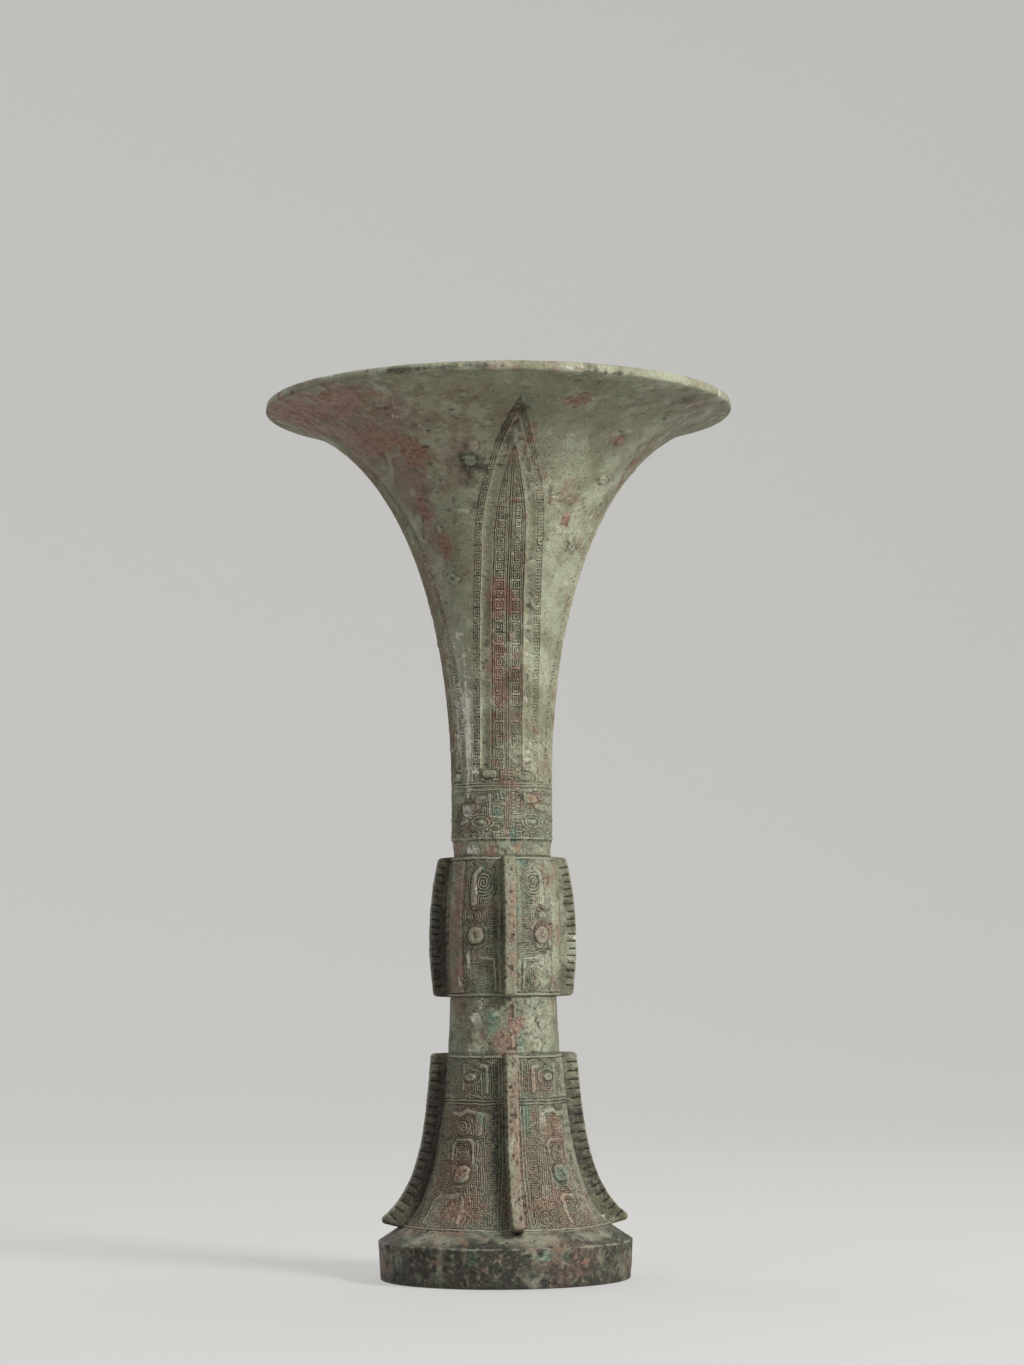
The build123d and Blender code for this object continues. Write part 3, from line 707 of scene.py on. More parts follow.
def make_trumpet(material):
    length = distances(TRUMPET_LINE)[-1]
    fine = np.arange(0.0, ORNAMENT_END, TRUMPET_STEP)
    along = np.concatenate((fine, np.linspace(ORNAMENT_END, length - LIP_START, PLAIN_ROWS)))
    lip = stepped(LIP_LINE, LIP_STEP)
    outer = np.concatenate((place(TRUMPET_LINE, along), lip))
    along = np.concatenate((along, length + np.linspace(0.0, LIP_LENGTH, len(lip))))
    turn = trumpet_turn(along, outer[:, 0])
    flat = spun(outer, turn)
    u = np.radians(from_flange(turn)) * outer[:, 0:1] + wandering(flat, BLADE_WANDER, 31)
    lengthwise = along[:, None] + wandering(flat, BLADE_WANDER, 37)
    clear = away_from_spacers(flat)
    rise = blade_relief(u, lengthwise) * worn(flat, 41, 0.7) + clear * trumpet_lumps(flat)
    on_lip = smooth(along, length - 1.0, length)[:, None]
    rise = rise * (1.0 - on_lip) - on_lip * lip_wear(flat)
    rest = stepped(trumpet_inside(), BORE_STEP)
    skin = {"grain": 0.085, "crust_gain": 0.75 * clear, "extra": blade_marks(u, lengthwise)}
    turned("trumpet_wall", "mouth_trumpet", outer, turn, rise, rest, material, **skin)


def blade_marks(u, along):
    # Marks for the paint: rosy and darker blades, with dull bosses at their feet
    _, inset, field = blade_zones(u, along)
    core = smooth(field, -0.3, 0.3)
    edge = between(inset, 0.0, BLADE_BAND)
    dull = smooth(hook_shape(u, along), -0.2, 0.3)
    return [
        ("rosy", np.maximum(core, 0.6 * edge)),
        ("red", 0.24 * core),
        ("dark_stain_and_painted_shade", 0.28 * core + 0.15 * edge + 0.6 * dull),
        ("proud", -0.7 * dull),
    ]


def away_from_spacers(surface):
    # 0 close to a spacer and 1 away from it
    clear = np.ones(surface.shape[:-1])
    for distance, azimuth in spacer_spots():
        radius, height = place(TRUMPET_LINE, np.array([distance]))[0, :2]
        away = np.linalg.norm(surface - polar(radius, azimuth, height), axis=-1)
        clear = clear * smooth(away, 3.2, 4.6)
    return clear


def trumpet_lumps(surface):
    # Low swellings, small blisters and large ones on the plain flare
    wave = 0.35 * (layered(surface, 26.0, 53) - 0.5)
    blister = 0.30 * smooth(lumps(surface, 4.5, 59), 0.80, 0.93)
    return wave + blister + warts(surface, TRUMPET_LINE, TRUMPET_WARTS)


def lip_wear(surface):
    # Nicks and dents along the lip
    nicks = smooth(layered(surface, 4.0, 163, 2), 0.62, 0.80)
    return 0.16 * layered(surface, 9.0, 167) + 0.12 * nicks


# Outline of the lip, from its lower edge over the top
LIP_LINE = [
    (81.80, 301.30), (81.98, 301.52), (82.05, 301.95), (82.04, 302.6), (81.9, 303.5), (81.68, 304.1),
    (81.2, 304.52), (80.5, 304.70), (79.6, 304.58),
]


def trumpet_inside():
    # The bore and the spigot, from the lip down and round to the neck
    bore = place(BORE_LINE, np.linspace(distances(BORE_LINE)[-1] - 3.0, 0.0, BORE_ROWS))[:, :2]
    spigot = NECK_RADIUS - LAP_WALL
    low = TRUMPET_BASE - LAP
    return [*bore, (NECK_RADIUS - WALL, low), (spigot, low), (spigot, TRUMPET_BASE - HAIR_GAP)]


# Steps along the plain insides of the walls
INNER_STEP = 2.0


def socket_corners(radius, level, bore):
    # A socket down from a level: its mouth, its foot, and the bore below it
    wide, foot = radius - LAP_WALL + SOCKET_FIT, level - LAP - SOCKET_DEEPER
    return [(wide, level - JOINT_GAP), (wide, foot), (bore, foot)]


# Neck band: small dragons in spiral ground over a plain collar
NECK_COLUMNS = 560
NECK_MOTIFS = [
    ([(7.9, 14.0), (10.2, 13.8)], 1.30),
    ([(11.0, 11.6), (14.2, 10.9)], 1.05),
    ([(6.3, 8.4), (6.3, 15.6)], 0.30),
    ([(2.0, 7.6), (6.3, 8.0)], 0.30),
]
NECK_EYE = (9.7, 6.2)
NECK_EYE_CLEAR = 1.5
NECK_WANDER = 0.25
COLLAR_ROWS = np.arange(0.1, 5.0, 0.45)
BAND_ROWS = np.arange(0.15, 18.0, 0.20)
COLLAR_MIDDLE = 148.5


def neck_relief(u, v, stray):
    # Dragons on both sides of a middle line, between two borders
    side = np.abs(u)
    eye = np.hypot((side - NECK_EYE[0]) / 1.7, v - NECK_EYE[1]) + 0.4 * stray
    rise = patterned(side, v, 1.0, stray, NECK_MOTIFS, eye - NECK_EYE_CLEAR, 2.7)
    rise = np.where(eye < NECK_EYE_CLEAR, 0.46 * within(eye, 0.70, 0.30) - GROUND_SINK, rise)
    centre = centre_lines(side)
    rise = np.where(side < 1.2, LINE_RISE * centre * smooth(v, 4.0, 4.8) - GROUND_SINK, rise)
    rise = np.where((v > 16.8) | (v < 1.1), -GROUND_SINK, rise)
    border = np.maximum(between(v, 16.95, 17.35) + between(v, 0.35, 0.95), centre * (v > 16.0))
    return np.maximum(rise, 0.42 * border - GROUND_SINK)


def make_neck(material):
    rows = [(COLLAR_RADIUS, COLLAR_BASE + row, 1.0, 0.0) for row in COLLAR_ROWS]
    outer = np.array(rows + [(NECK_RADIUS, BAND_BASE + row, 1.0, 0.0) for row in BAND_ROWS])
    turn, flat = swept(outer, NECK_COLUMNS)
    u = np.radians(from_flange(turn)) * NECK_RADIUS + wandering(flat, NECK_WANDER, 61)
    v = outer[:, 1:2] - BAND_BASE + wandering(flat, NECK_WANDER, 67)
    drawn = np.where(outer[:, 1:2] > BAND_BASE, neck_relief(u, v, unsteady(flat, 69)), 0.0)
    rise = drawn * worn(flat, 71, 0.7) + collar_crust(flat)
    bore, spigot = COLLAR_RADIUS - WALL, COLLAR_RADIUS - LAP_WALL
    top, low = TRUMPET_BASE - JOINT_GAP, COLLAR_BASE - LAP
    rest = [(NECK_RADIUS - 0.3, top), *socket_corners(NECK_RADIUS, TRUMPET_BASE, bore)]
    rest += [(bore, low), (spigot, low), (spigot, COLLAR_BASE + JOINT_GAP)]
    turned("neck_wall", "neck_band", outer, turn, rise, stepped(rest, INNER_STEP), material)


def collar_crust(surface):
    # Lumpy corrosion that gathers on the collar
    crust = smooth(layered(surface, 4.5, 73), 0.52, 0.75)
    return 0.42 * crust * smooth(-np.abs(surface[..., 2] - COLLAR_MIDDLE), -7.0, -1.0)


# Bulb: two masks, each centred on a flange
BULB_COLUMNS = 620
BULB_STEP = 0.20
BULB_REFERENCE = 20.0
BULB_WANDER = 0.32
BULB_EYE = (11.9, 21.2)
BULB_EYE_CLEAR = 3.2
BULB_EYE_SIZE = 3.0
BULB_EYE_RISE = 1.0
BULB_BAND = (17.6, 24.6)
BULB_BORDER = (2.6, 4.1)
BULB_PATTERN = (1.6, 47.0)
BULB_TICKS = (4.6, 7.2, 14.6, 34.0)
BULB_THREADS = (14.2, 17.4, 30.6, 46.6)
BULB_PITCH = 0.88
BULB_MOTIFS = [
    ([(12.5, 32.4), (12.9, 38.6)], 1.05),
    ([(12.9, 38.6), (12.4, 42.4), (10.2, 44.4)], 0.65),
    ([(15.0, 10.4), (14.7, 15.2)], 0.80),
    ([(4.9, 2.8), (5.1, 13.0), (10.2, 13.4)], 0.45),
    ([(18.5, 3.6), (19.6, 7.4)], 0.70),
]
BULB_COILS = [(9.2, 39.2, 3.2, 0.8), (10.4, 7.8, 3.4, 1.1), (12.2, 27.8, 3.3, 1.5)]


def bulb_relief(x, v, stretch, stray):
    # Half a mask: pattern, rows of lines, plain band, border beside the flange, eye and edges
    eye = np.hypot((x - BULB_EYE[0]) * stretch, v - BULB_EYE[1]) + 0.4 * stray
    rise = patterned(x, v, stretch, stray, BULB_MOTIFS, eye - BULB_EYE_CLEAR, 3.1, BULB_COILS, BULB_PITCH)
    rise = lined(rise, boxed(x, v, BULB_TICKS), ruled(v))
    rise = lined(rise, boxed(x, v, BULB_THREADS), ruled(x))
    band = np.minimum(x - BULB_BAND[0], BULB_BAND[1] - x)
    plain = 0.16 * smooth(band, -0.3, 0.5) - GROUND_SINK * (band < 0.0)
    rise = np.where(band > -0.5, np.maximum(plain, rise * (x < 20.5)), rise)
    border = np.minimum(x - BULB_BORDER[0], BULB_BORDER[1] - x)
    rise = np.where(x < 4.5, 0.24 * smooth(border, -0.3, 0.4) - 0.16, rise)
    rise = cleared(rise, eye, 2.9) + ring_boss(eye, BULB_EYE_SIZE, BULB_EYE_RISE)
    rise = np.where((v < BULB_PATTERN[0]) | (v > BULB_PATTERN[1]), -GROUND_SINK, rise)
    edge = between(v, 0.4, 1.2) + between(v, 47.4, 48.2)
    return np.maximum(rise, 0.45 * edge - GROUND_SINK)


# Middle of the crusted half, in degrees right of the camera, and how far it spreads
CRUST_RIGHT = 44.0
CRUST_SPREAD = 20.0


def mask_crust(surface, turn):
    # Lumpy corrosion over the half of the mask to the right of the front flange
    across = turned_from(turn, VIEW_TURN + CRUST_RIGHT) / CRUST_SPREAD
    return np.exp(-(across**2)) * smooth(layered(surface, 3.4, 175), 0.46, 0.62)


def make_bulb(material):
    along = np.arange(0.1, distances(BULB_LINE)[-1] - 0.05, BULB_STEP)
    outer = place(BULB_LINE, along)
    turn, flat = swept(outer, BULB_COLUMNS)
    x = np.radians(from_mask(turn)) * BULB_REFERENCE + wandering(flat, BULB_WANDER, 83)
    v = along[:, None] + wandering(flat, BULB_WANDER, 89)
    stretch = outer[:, 0:1] / BULB_REFERENCE
    rise = bulb_relief(x, v, stretch, unsteady(flat, 95)) * worn(flat, 97, 0.7)
    crust = mask_crust(flat, turn)
    rise = rise * (1.0 - 0.45 * crust) + 0.36 * crust * layered(flat, 1.5, 179, 2)
    ends = np.minimum(along, along[-1] - along)[:, None]
    rise = rise - 0.5 * (1.0 - smooth(ends, 0.0, 0.7)) * (0.6 + 0.8 * layered(flat, 5.0, 101))
    rest = stepped(bulb_inside(), INNER_STEP)
    extra = [("crust", 0.8 * crust)]
    turned("bulb_wall", "bulb", outer, turn, rise, rest, material, extra=extra)


def bulb_inside():
    # The sockets at both ends and the bore between them, from the top down
    shelf, low = BULB_BASE + LAP + FLOOR_WALL, BULB_BASE + JOINT_GAP
    socket = WAIST_TOP_RADIUS - LAP_WALL + SOCKET_FIT
    return [
        (BULB_TOP_RADIUS - 1.2, COLLAR_BASE - JOINT_GAP),
        *socket_corners(COLLAR_RADIUS, COLLAR_BASE, COLLAR_RADIUS - WALL + 0.6),
        (BULB_MID_RADIUS - BULB_WALL, BULB_MIDDLE), (BULB_RADIUS - BULB_WALL, shelf),
        (socket, shelf), (socket, low), (BULB_RADIUS - 0.7, low),
    ]


# Waist: plain, with a mould seam and lumps of corrosion
WAIST_COLUMNS = 420
WAIST_ROWS = 84
WAIST_LINE = np.array([(WAIST_RADIUS, WAIST_BASE + JOINT_GAP), (WAIST_TOP_RADIUS, BULB_BASE - JOINT_GAP)])
SEAM_TURN = -86.8


def waist_surface(surface, turn):
    # Unevenness, the seam's broken ridge, crust about it and blisters
    seam = turned_from(turn, SEAM_TURN)
    uneven = layered(surface, 6.0, 103)
    drift = 9.0 * (layered(surface, 4.5, 105) - 0.5) + 4.0 * (lumps(surface, 1.3, 109) - 0.5)
    ridge = 0.6 * within(np.abs(seam + drift), 1.4, 1.2) * smooth(layered(surface, 3.0, 106), 0.30, 0.60)
    crust = smooth(layered(surface, 4.0, 107), 0.50, 0.70) * within(np.abs(seam), 40.0, 24.0)
    heap = 0.35 + 0.5 * layered(surface, 1.6, 108, 2)
    return 0.4 * (uneven - 0.5) + ridge + 0.8 * crust * heap + warts(surface, WAIST_LINE, WAIST_WARTS)


def make_waist(material):
    outer = place(WAIST_LINE, np.linspace(0.0, distances(WAIST_LINE)[-1], WAIST_ROWS))
    turn, flat = swept(outer, WAIST_COLUMNS)
    rise = waist_surface(flat, turn)
    top, low = FLOOR_BASE - JOINT_GAP, WAIST_BASE - LAP
    spigot, lower_spigot = WAIST_TOP_RADIUS - LAP_WALL, WAIST_RADIUS - LAP_WALL
    rest = [(spigot, BULB_BASE - JOINT_GAP), (spigot, top), (WAIST_TOP_RADIUS - WALL, top)]
    rest += [(WAIST_RADIUS - WALL, low), (lower_spigot, low), (lower_spigot, WAIST_BASE + JOINT_GAP)]
    turned("waist_wall", "waist", outer, turn, rise, stepped(rest, INNER_STEP), material, grain=0.12)


# Foot: two masks below a narrow register of dragons
FOOT_COLUMNS = 1080
FOOT_STEP = 0.20
FOOT_WANDER = 0.34
FOOT_EYE = (41.0, 21.5)
FOOT_EYE_SIZE = 3.0
FOOT_EYE_RISE = 1.3
FOOT_PIT = (43.5, 21.6)
FOOT_SLIT = [(37.6, 22.6), (41.5, 21.6), (44.4, 20.0)]
FOOT_OVAL = (40.5, 54.6)
FOOT_OVAL_SIZE = 1.4
FOOT_OVAL_RISE = 0.45
FOOT_DIVIDER = 46.0
FOOT_BORDERS = (9.5, 80.5)
FOOT_TICKS = (6.0, 8.6, 14.0, 44.4)
FOOT_THREADS = [(66.0, 76.0, 14.0, 32.0), (21.0, 28.0, 14.0, 31.0)]
FOOT_PITCH = 0.92
FOOT_BORE_ROWS = 26
FOOT_INNER_STEP = 2.6
FOOT_MOTIFS = [
    ([(29.0, 35.6), (29.5, 41.4)], 1.55),
    ([(33.0, 42.6), (42.0, 43.0), (49.0, 41.8), (58.0, 42.2)], 0.80),
    ([(32.6, 25.6), (32.8, 31.6), (36.0, 33.2), (50.0, 33.2), (53.0, 31.6), (53.0, 26.6)], 0.42),
    ([(46.5, 13.6), (38.8, 14.2), (36.2, 12.6), (35.6, 4.0)], 0.80),
    ([(62.0, 3.0), (62.0, 12.0), (57.0, 13.4)], 0.45),
    ([(22.0, 49.6), (22.5, 58.0), (28.0, 58.4)], 0.75),
    ([(48.0, 50.4), (49.0, 58.6)], 0.55),
]
FOOT_COILS = [
    (45.0, 37.6, 2.3, 1.0), (43.0, 28.8, 3.2, 1.25), (49.0, 8.0, 2.4, 1.0), (66.0, 30.0, 2.6, 1.0),
    (59.0, 54.2, 2.2, 1.0),
]


def foot_relief(angle, v, stretch, stray):
    # Half a mask under half a dragon: pattern, rows of lines, borders, eyes and dividing lines
    across = np.abs(angle - FOOT_EYE[0]) * stretch
    up = np.abs(v - FOOT_EYE[1])
    eye = (across**3 + up**3) ** (1.0 / 3.0) + 0.5 * stray
    oval = np.hypot((angle - FOOT_OVAL[0]) * stretch / 1.5, v - FOOT_OVAL[1]) + 0.3 * stray
    clear = np.minimum(eye - 3.1, oval - 1.6)
    rise = patterned(angle, v, stretch, stray, FOOT_MOTIFS, clear, 3.1, FOOT_COILS, FOOT_PITCH)
    rise = lined(rise, boxed(angle * stretch, v, FOOT_TICKS), ruled(v))
    for box in FOOT_THREADS:
        rise = lined(rise, boxed(angle, v, box), ruled(angle * stretch))
    for middle in FOOT_BORDERS:
        border = np.abs(angle - middle) * stretch
        strip = 0.30 * between(border, 0.35, 0.75) - 0.20
        rise = np.where(border < 1.1, strip, rise)
    rise = cleared(rise, eye, 2.8) + dome(eye, FOOT_EYE_SIZE, FOOT_EYE_RISE)
    slit = path_distance(angle, v, FOOT_SLIT, stretch)
    pit = np.hypot((angle - FOOT_PIT[0]) * stretch, v - FOOT_PIT[1])
    rise = rise - 0.60 * within(slit, 0.35, 0.22) - 0.35 * within(pit, 0.6, 0.3)
    rise = cleared(rise, oval, FOOT_OVAL_SIZE) + ring_boss(oval, FOOT_OVAL_SIZE, FOOT_OVAL_RISE)
    divider = np.abs(v - FOOT_DIVIDER)
    rise = np.where((divider < 1.2) | (v < 1.6) | (v > 60.7), -GROUND_SINK, rise)
    lines = between(divider, 0.3, 0.75) + between(v, 0.5, 1.2) + between(v, 61.0, 61.7)
    return np.maximum(rise, 0.55 * lines - GROUND_SINK)


def make_foot(material):
    along = np.arange(0.05, distances(FOOT_LINE)[-1] - 0.02, FOOT_STEP)
    outer = place(FOOT_LINE, along)
    turn, flat = swept(outer, FOOT_COLUMNS)
    stretch = np.radians(outer[:, 0:1])
    angle = from_mask(turn) + wandering(flat, FOOT_WANDER, 109) / stretch
    v = along[:, None] + wandering(flat, FOOT_WANDER, 113)
    rise = foot_relief(angle, v, stretch, unsteady(flat, 125)) * worn(flat, 127, 0.72)
    rise = rise + 0.3 * (layered(flat, 12.0, 131) - 0.5) * smooth(along, 0.0, 3.0)[:, None]
    rest = stepped(foot_inside(), FOOT_INNER_STEP)
    turned("foot_wall", "foot", outer, turn, rise, rest, material, grain=0.11, crust_gain=0.65)


def foot_inside():
    # The socket, the hollow and the seat, from the top down
    deep = LAP + SOCKET_DEEPER
    hollow = np.linspace(distances(FOOT_BORE_LINE)[-1] - deep, 0.0, FOOT_BORE_ROWS)
    top, seat = WAIST_BASE - HAIR_GAP, FOOT_BASE - SEAT_DEPTH
    socket, outside = WAIST_RADIUS - LAP_WALL + SOCKET_FIT, FOOT_RADIUS - SOCKET_FIT
    return [
        (FOOT_TOP_RADIUS - 0.8, top), (socket, top), (socket, WAIST_BASE - deep),
        *place(FOOT_BORE_LINE, hollow)[:, :2], (FOOT_BORE, seat), (outside, seat), (outside, FOOT_BASE),
    ]


# Foot ring: upright pitted band under a smooth sloping ledge
RING_COLUMNS = 600
RING_STEP = 0.32
RING_INNER_STEP = 1.6
RING_FOOT = 0.1
STREAK_STRETCH = np.array((1.0, 1.0, 0.16))


def ring_line():
    # The ring's outer outline with worn edges, from the floor up to the foot
    low = RING_RADIUS - RING_TAPER
    corners = [
        (low - 0.7, RING_FOOT), (low - 0.25, 0.22), (low, 0.6), (RING_RADIUS - 0.06, LEDGE_BASE - 0.30),
        (RING_RADIUS - 0.14, LEDGE_BASE - 0.06), (RING_RADIUS - 0.40, LEDGE_BASE + 0.16),
        (FOOT_RADIUS + 0.9, FOOT_BASE - 0.45), (FOOT_RADIUS + SOCKET_FIT, FOOT_BASE),
    ]
    return np.array(corners, float)


def make_ring(material):
    line = ring_line()
    total = distances(line)
    along = []
    for low, high in zip(total, total[1:]):
        count = max(2, int((high - low) / RING_STEP))
        along += np.linspace(low, high, count, endpoint=False).tolist()
    outer = place(line, np.array([*along, total[-1]]))
    turn, flat = swept(outer, RING_COLUMNS)
    height = outer[:, 1:2]
    streaks = lumps(flat * STREAK_STRETCH, 1.6, 137) - 0.5
    upright = between(height, 0.8, LEDGE_BASE, 0.8)
    rise = -0.36 * layered(flat, 9.0, 139) + 0.08 * streaks * upright
    pits = smooth(lumps(flat, 2.2, 143), 0.74, 0.90)
    nicks = smooth(layered(flat, 4.0, 149, 2), 0.64, 0.80)
    rise = rise - 0.26 * pits * upright - 0.30 * nicks * between(height, 10.5, LEDGE_BASE + 0.3, 0.6)
    rise = rise * smooth(height, 0.0, 0.7) * smooth(FOOT_BASE - height, 0.0, 0.5)
    inside = RING_RADIUS - RING_TAPER - RING_WALL
    seat = FOOT_BASE - SEAT_DEPTH - SOCKET_FIT
    rest = [(FOOT_RADIUS, FOOT_BASE - HAIR_GAP), (FOOT_RADIUS, seat), (FOOT_BORE, seat)]
    rest += [(FOOT_BORE, FOOT_BASE - SEAT_DEPTH - WALL), (inside, LEDGE_BASE / 2), (inside, RING_FOOT)]
    rest = stepped(rest, RING_INNER_STEP)
    keep = smooth(height, 0.0, 1.2)
    rubbed = smooth(layered(flat, 8.0, 147), 0.40, 0.60)
    rubbed = rubbed * between(height, LEDGE_BASE - 0.5, LEDGE_BASE + 0.3, 0.2)
    skin = {"grain": 0.13 * keep, "crust_gain": 0.35 * keep, "extra": [("proud", 0.8 * rubbed)]}
    turned("ring_wall", "foot_ring", outer, turn, rise, rest, material, **skin)


# Cup floor: a dished disc across the waist
FLOOR_COLUMNS = 72
FLOOR_STEP = 3.0


def make_floor(material):
    edge = WAIST_TOP_RADIUS - LAP_WALL - JOINT_GAP
    dish = WAIST_TOP_RADIUS - WALL - 0.6
    steps = np.linspace(0.04, 1.0, 12)
    under, over = FLOOR_BASE + HAIR_GAP, FLOOR_BASE + FLOOR_WALL - HAIR_GAP
    low = [(dish * t, under - DISH_DEPTH * (1 - t**2)) for t in steps]
    high = [(dish * t, over - DISH_DEPTH * (1 - t**2)) for t in steps[::-1]]
    rows = stepped([*low, (edge, under), (edge, over), *high], FLOOR_STEP)
    points = swept(rows, FLOOR_COLUMNS)[1]
    points = points + 0.12 * (layered(points, 4.0, 151) - 0.5)[..., None]
    vertices = points.reshape(-1, 3)
    faces = capped_faces(len(rows), FLOOR_COLUMNS)
    found = [("hollow", np.full(len(vertices), 0.35))]
    finish_mesh("cup_floor_wall", vertices, faces, found, material, "cup_floor")


# Flanges: tapered fins with notches across both faces
FIN_ROOT_HALF = 2.35
FIN_EDGE_HALF = 2.08
FIN_CORNER = 1.7
FIN_EDGE_ROUND = 0.80
FIN_END_ROUND = 0.7
FIN_EDGE_COLUMNS = 17
FIN_SINK = 0.7
NOTCH_HALF = 0.24
NOTCH_SINK = 0.62
NOTCH_START = 3.4
FIN_STEP = 0.24
FIN_DEPTHS = np.concatenate((np.linspace(0.0, 0.84, 15), (0.88, 0.92, 0.95, 0.975, 0.992, 1.0)))
UP = np.array((0.0, 0.0, 1.0))


def rounding(away, radius):
    # How far a rounded corner falls back, at a distance in from its end
    near = np.clip(radius - away, 0.0, radius)
    return radius - np.sqrt(radius**2 - near**2)


def fin_rows(wall_line, edge_line, step):
    # Matching points on the wall and on the flange's edge, with the edge's corners rounded off
    length = distances(edge_line)[-1]
    along = np.linspace(0.0, length, int(length / step))
    share = along / length
    edge = place(edge_line, along)
    wall = place(wall_line, share * distances(wall_line)[-1])
    cut = rounding(np.minimum(along, length - along), FIN_CORNER)
    return along, wall[:, :2] - FIN_SINK * wall[:, 2:], edge[:, :2] - cut[:, None] * edge[:, 2:]


def notch_depth(points, edge_line, pitch, length, seed):
    # Depth of the notches at points of the flange's side view
    line = place(edge_line, np.linspace(0.0, distances(edge_line)[-1], 500))[:, :2]
    along_line = distances(line)
    gap = np.hypot(points[..., None, 0] - line[:, 0], points[..., None, 1] - line[:, 1])
    nearest = gap.argmin(axis=-1)
    inward = gap.min(axis=-1)
    along = along_line[nearest]
    count = int((along_line[-1] - 2 * NOTCH_START) / pitch) + 1
    first = (along_line[-1] - (count - 1) * pitch) / 2
    index = np.clip(np.round((along - first) / pitch), 0, count - 1).astype(int)
    source = np.random.default_rng(seed)
    shift = source.normal(0.0, 0.09, count)[index]
    strength = source.uniform(0.78, 1.0, count)[index]
    reach = length * source.uniform(0.85, 1.08, count)[index]
    across = np.abs(along - first - index * pitch - shift)
    inner_end = 1.0 - smooth(inward, reach - 0.6, reach + 0.2)
    outer_end = 0.16 + 0.84 * smooth(inward, 0.25, 0.9)
    pillow = 0.40 * (1.0 - smooth(across, 0.0, 0.46 * pitch)) * smooth(inward, 0.5, 1.4)
    return strength * np.maximum(within(across, NOTCH_HALF, 0.12) * outer_end, pillow) * inner_end


def fin_halves(along, inward):
    # Half thickness of a flange: tapered to its edge, and rounded along the edge and at both ends
    half = FIN_ROOT_HALF + (FIN_EDGE_HALF - FIN_ROOT_HALF) * FIN_DEPTHS[None, :] ** 0.8
    ends = np.minimum(along, along[-1] - along)[:, None]
    return half - 0.9 * rounding(inward, FIN_EDGE_ROUND) - rounding(ends, FIN_END_ROUND)


def fin_edge(sides, push):
    # The worn edge that joins a flange's two sides, and how deep it is bitten
    share = np.linspace(0.0, 1.0, FIN_EDGE_COLUMNS + 2)[None, 1:-1, None]
    rim = sides[0][:, -1:] * (1.0 - share) + sides[1][:, -1:] * share
    bite = 0.19 * granular(rim)
    return rim + push[:, None, :] * np.minimum(bite, 0.12)[..., None], bite


def make_fin(name, node, azimuth, wall_line, edge_line, pitch, notch_length, material, seed):
    along, wall, edge = fin_rows(wall_line, edge_line, FIN_STEP)
    reach = np.hypot(*(edge - wall).T)[:, None]
    outward = (edge - wall) / reach
    out, aside = polar(1.0, azimuth, 0.0), polar(1.0, azimuth + QUARTER, 0.0)
    edge_points = edge[:, 0:1] * out + edge[:, 1:2] * UP
    edge = edge - outward * 0.40 * layered(edge_points, 3.4, seed + 1)[:, None]
    depth = FIN_DEPTHS[None, :, None]
    side_view = wall[:, None, :] * (1.0 - depth) + edge[:, None, :] * depth
    inward = (1.0 - FIN_DEPTHS[None, :]) * reach
    half = fin_halves(along, inward)
    centre = side_view[..., 0:1] * out + side_view[..., 1:2] * UP
    bend = 0.5 * (layered(centre, 22.0, seed + 7) - 0.5)
    sides, hollows = [], []
    for side in (-1.0, 1.0):
        notch = notch_depth(side_view, edge_line, pitch, notch_length, seed + int(side))
        rough = 0.11 * granular(centre + side * 3.0 * aside)
        sides.append(centre + (side * (half - NOTCH_SINK * notch + rough) + bend)[..., None] * aside)
        hollows.append(np.clip(smooth(notch, 0.34, 0.62) + np.clip(-2.5 * rough, 0.0, 0.6), 0.0, 1.0))
    rim, bite = fin_edge(sides, outward[:, 0:1] * out + outward[:, 1:2] * UP)
    vertices = np.concatenate((sides[0], rim, sides[1][:, ::-1]), axis=1).reshape(-1, 3)
    hollow = np.concatenate((hollows[0], np.clip(-3.5 * bite, 0.0, 1.0), hollows[1][:, ::-1]), axis=1)
    rub = 1.0 - smooth(inward, 0.1, 0.9)
    rub = np.concatenate((rub, np.ones(bite.shape), rub[:, ::-1]), axis=1)
    found = [("hollow", hollow), ("proud", 0.6 * rub * (1.0 - hollow)), ("crust", 0.8 * crusted(vertices))]
    finish_mesh(name, vertices, capped_faces(*hollow.shape), found, material, node)


# Outlines of the wall and the edge, pitch and length of the notches, first seed
FIN_KINDS = {
    "bulb": (BULB_LINE, BULB_EDGE_LINE, 2.6, 3.9, 200),
    "foot": (FOOT_LINE, FOOT_EDGE_LINE, 3.0, 4.7, 300),
}


def make_fins(material):
    for index, (side, azimuth) in enumerate(FLANGE_SIDES.items()):
        for kind, (wall, edge, pitch, length, seed) in FIN_KINDS.items():
            name, node = f"{kind}_fin_{side}", f"{kind}_flange_{side}"
            make_fin(name, node, azimuth, wall, edge, pitch, length, material, seed + 10 * index)


# Spacers: small squarish inserts that show on both faces of the flare
# Each ring of them has a distance along the outline and a first azimuth.
SPACER_LEVELS = ((93.7, 35.3), (125.4, 46.1))
SPACER_HALF = 2.4
SPACER_GRID = 16
SPACER_SEED = 400


def spacer_spots():
    # Distance along the outline and azimuth of each spacer
    return [(distance, first + QUARTER * k) for distance, first in SPACER_LEVELS for k in range(4)]


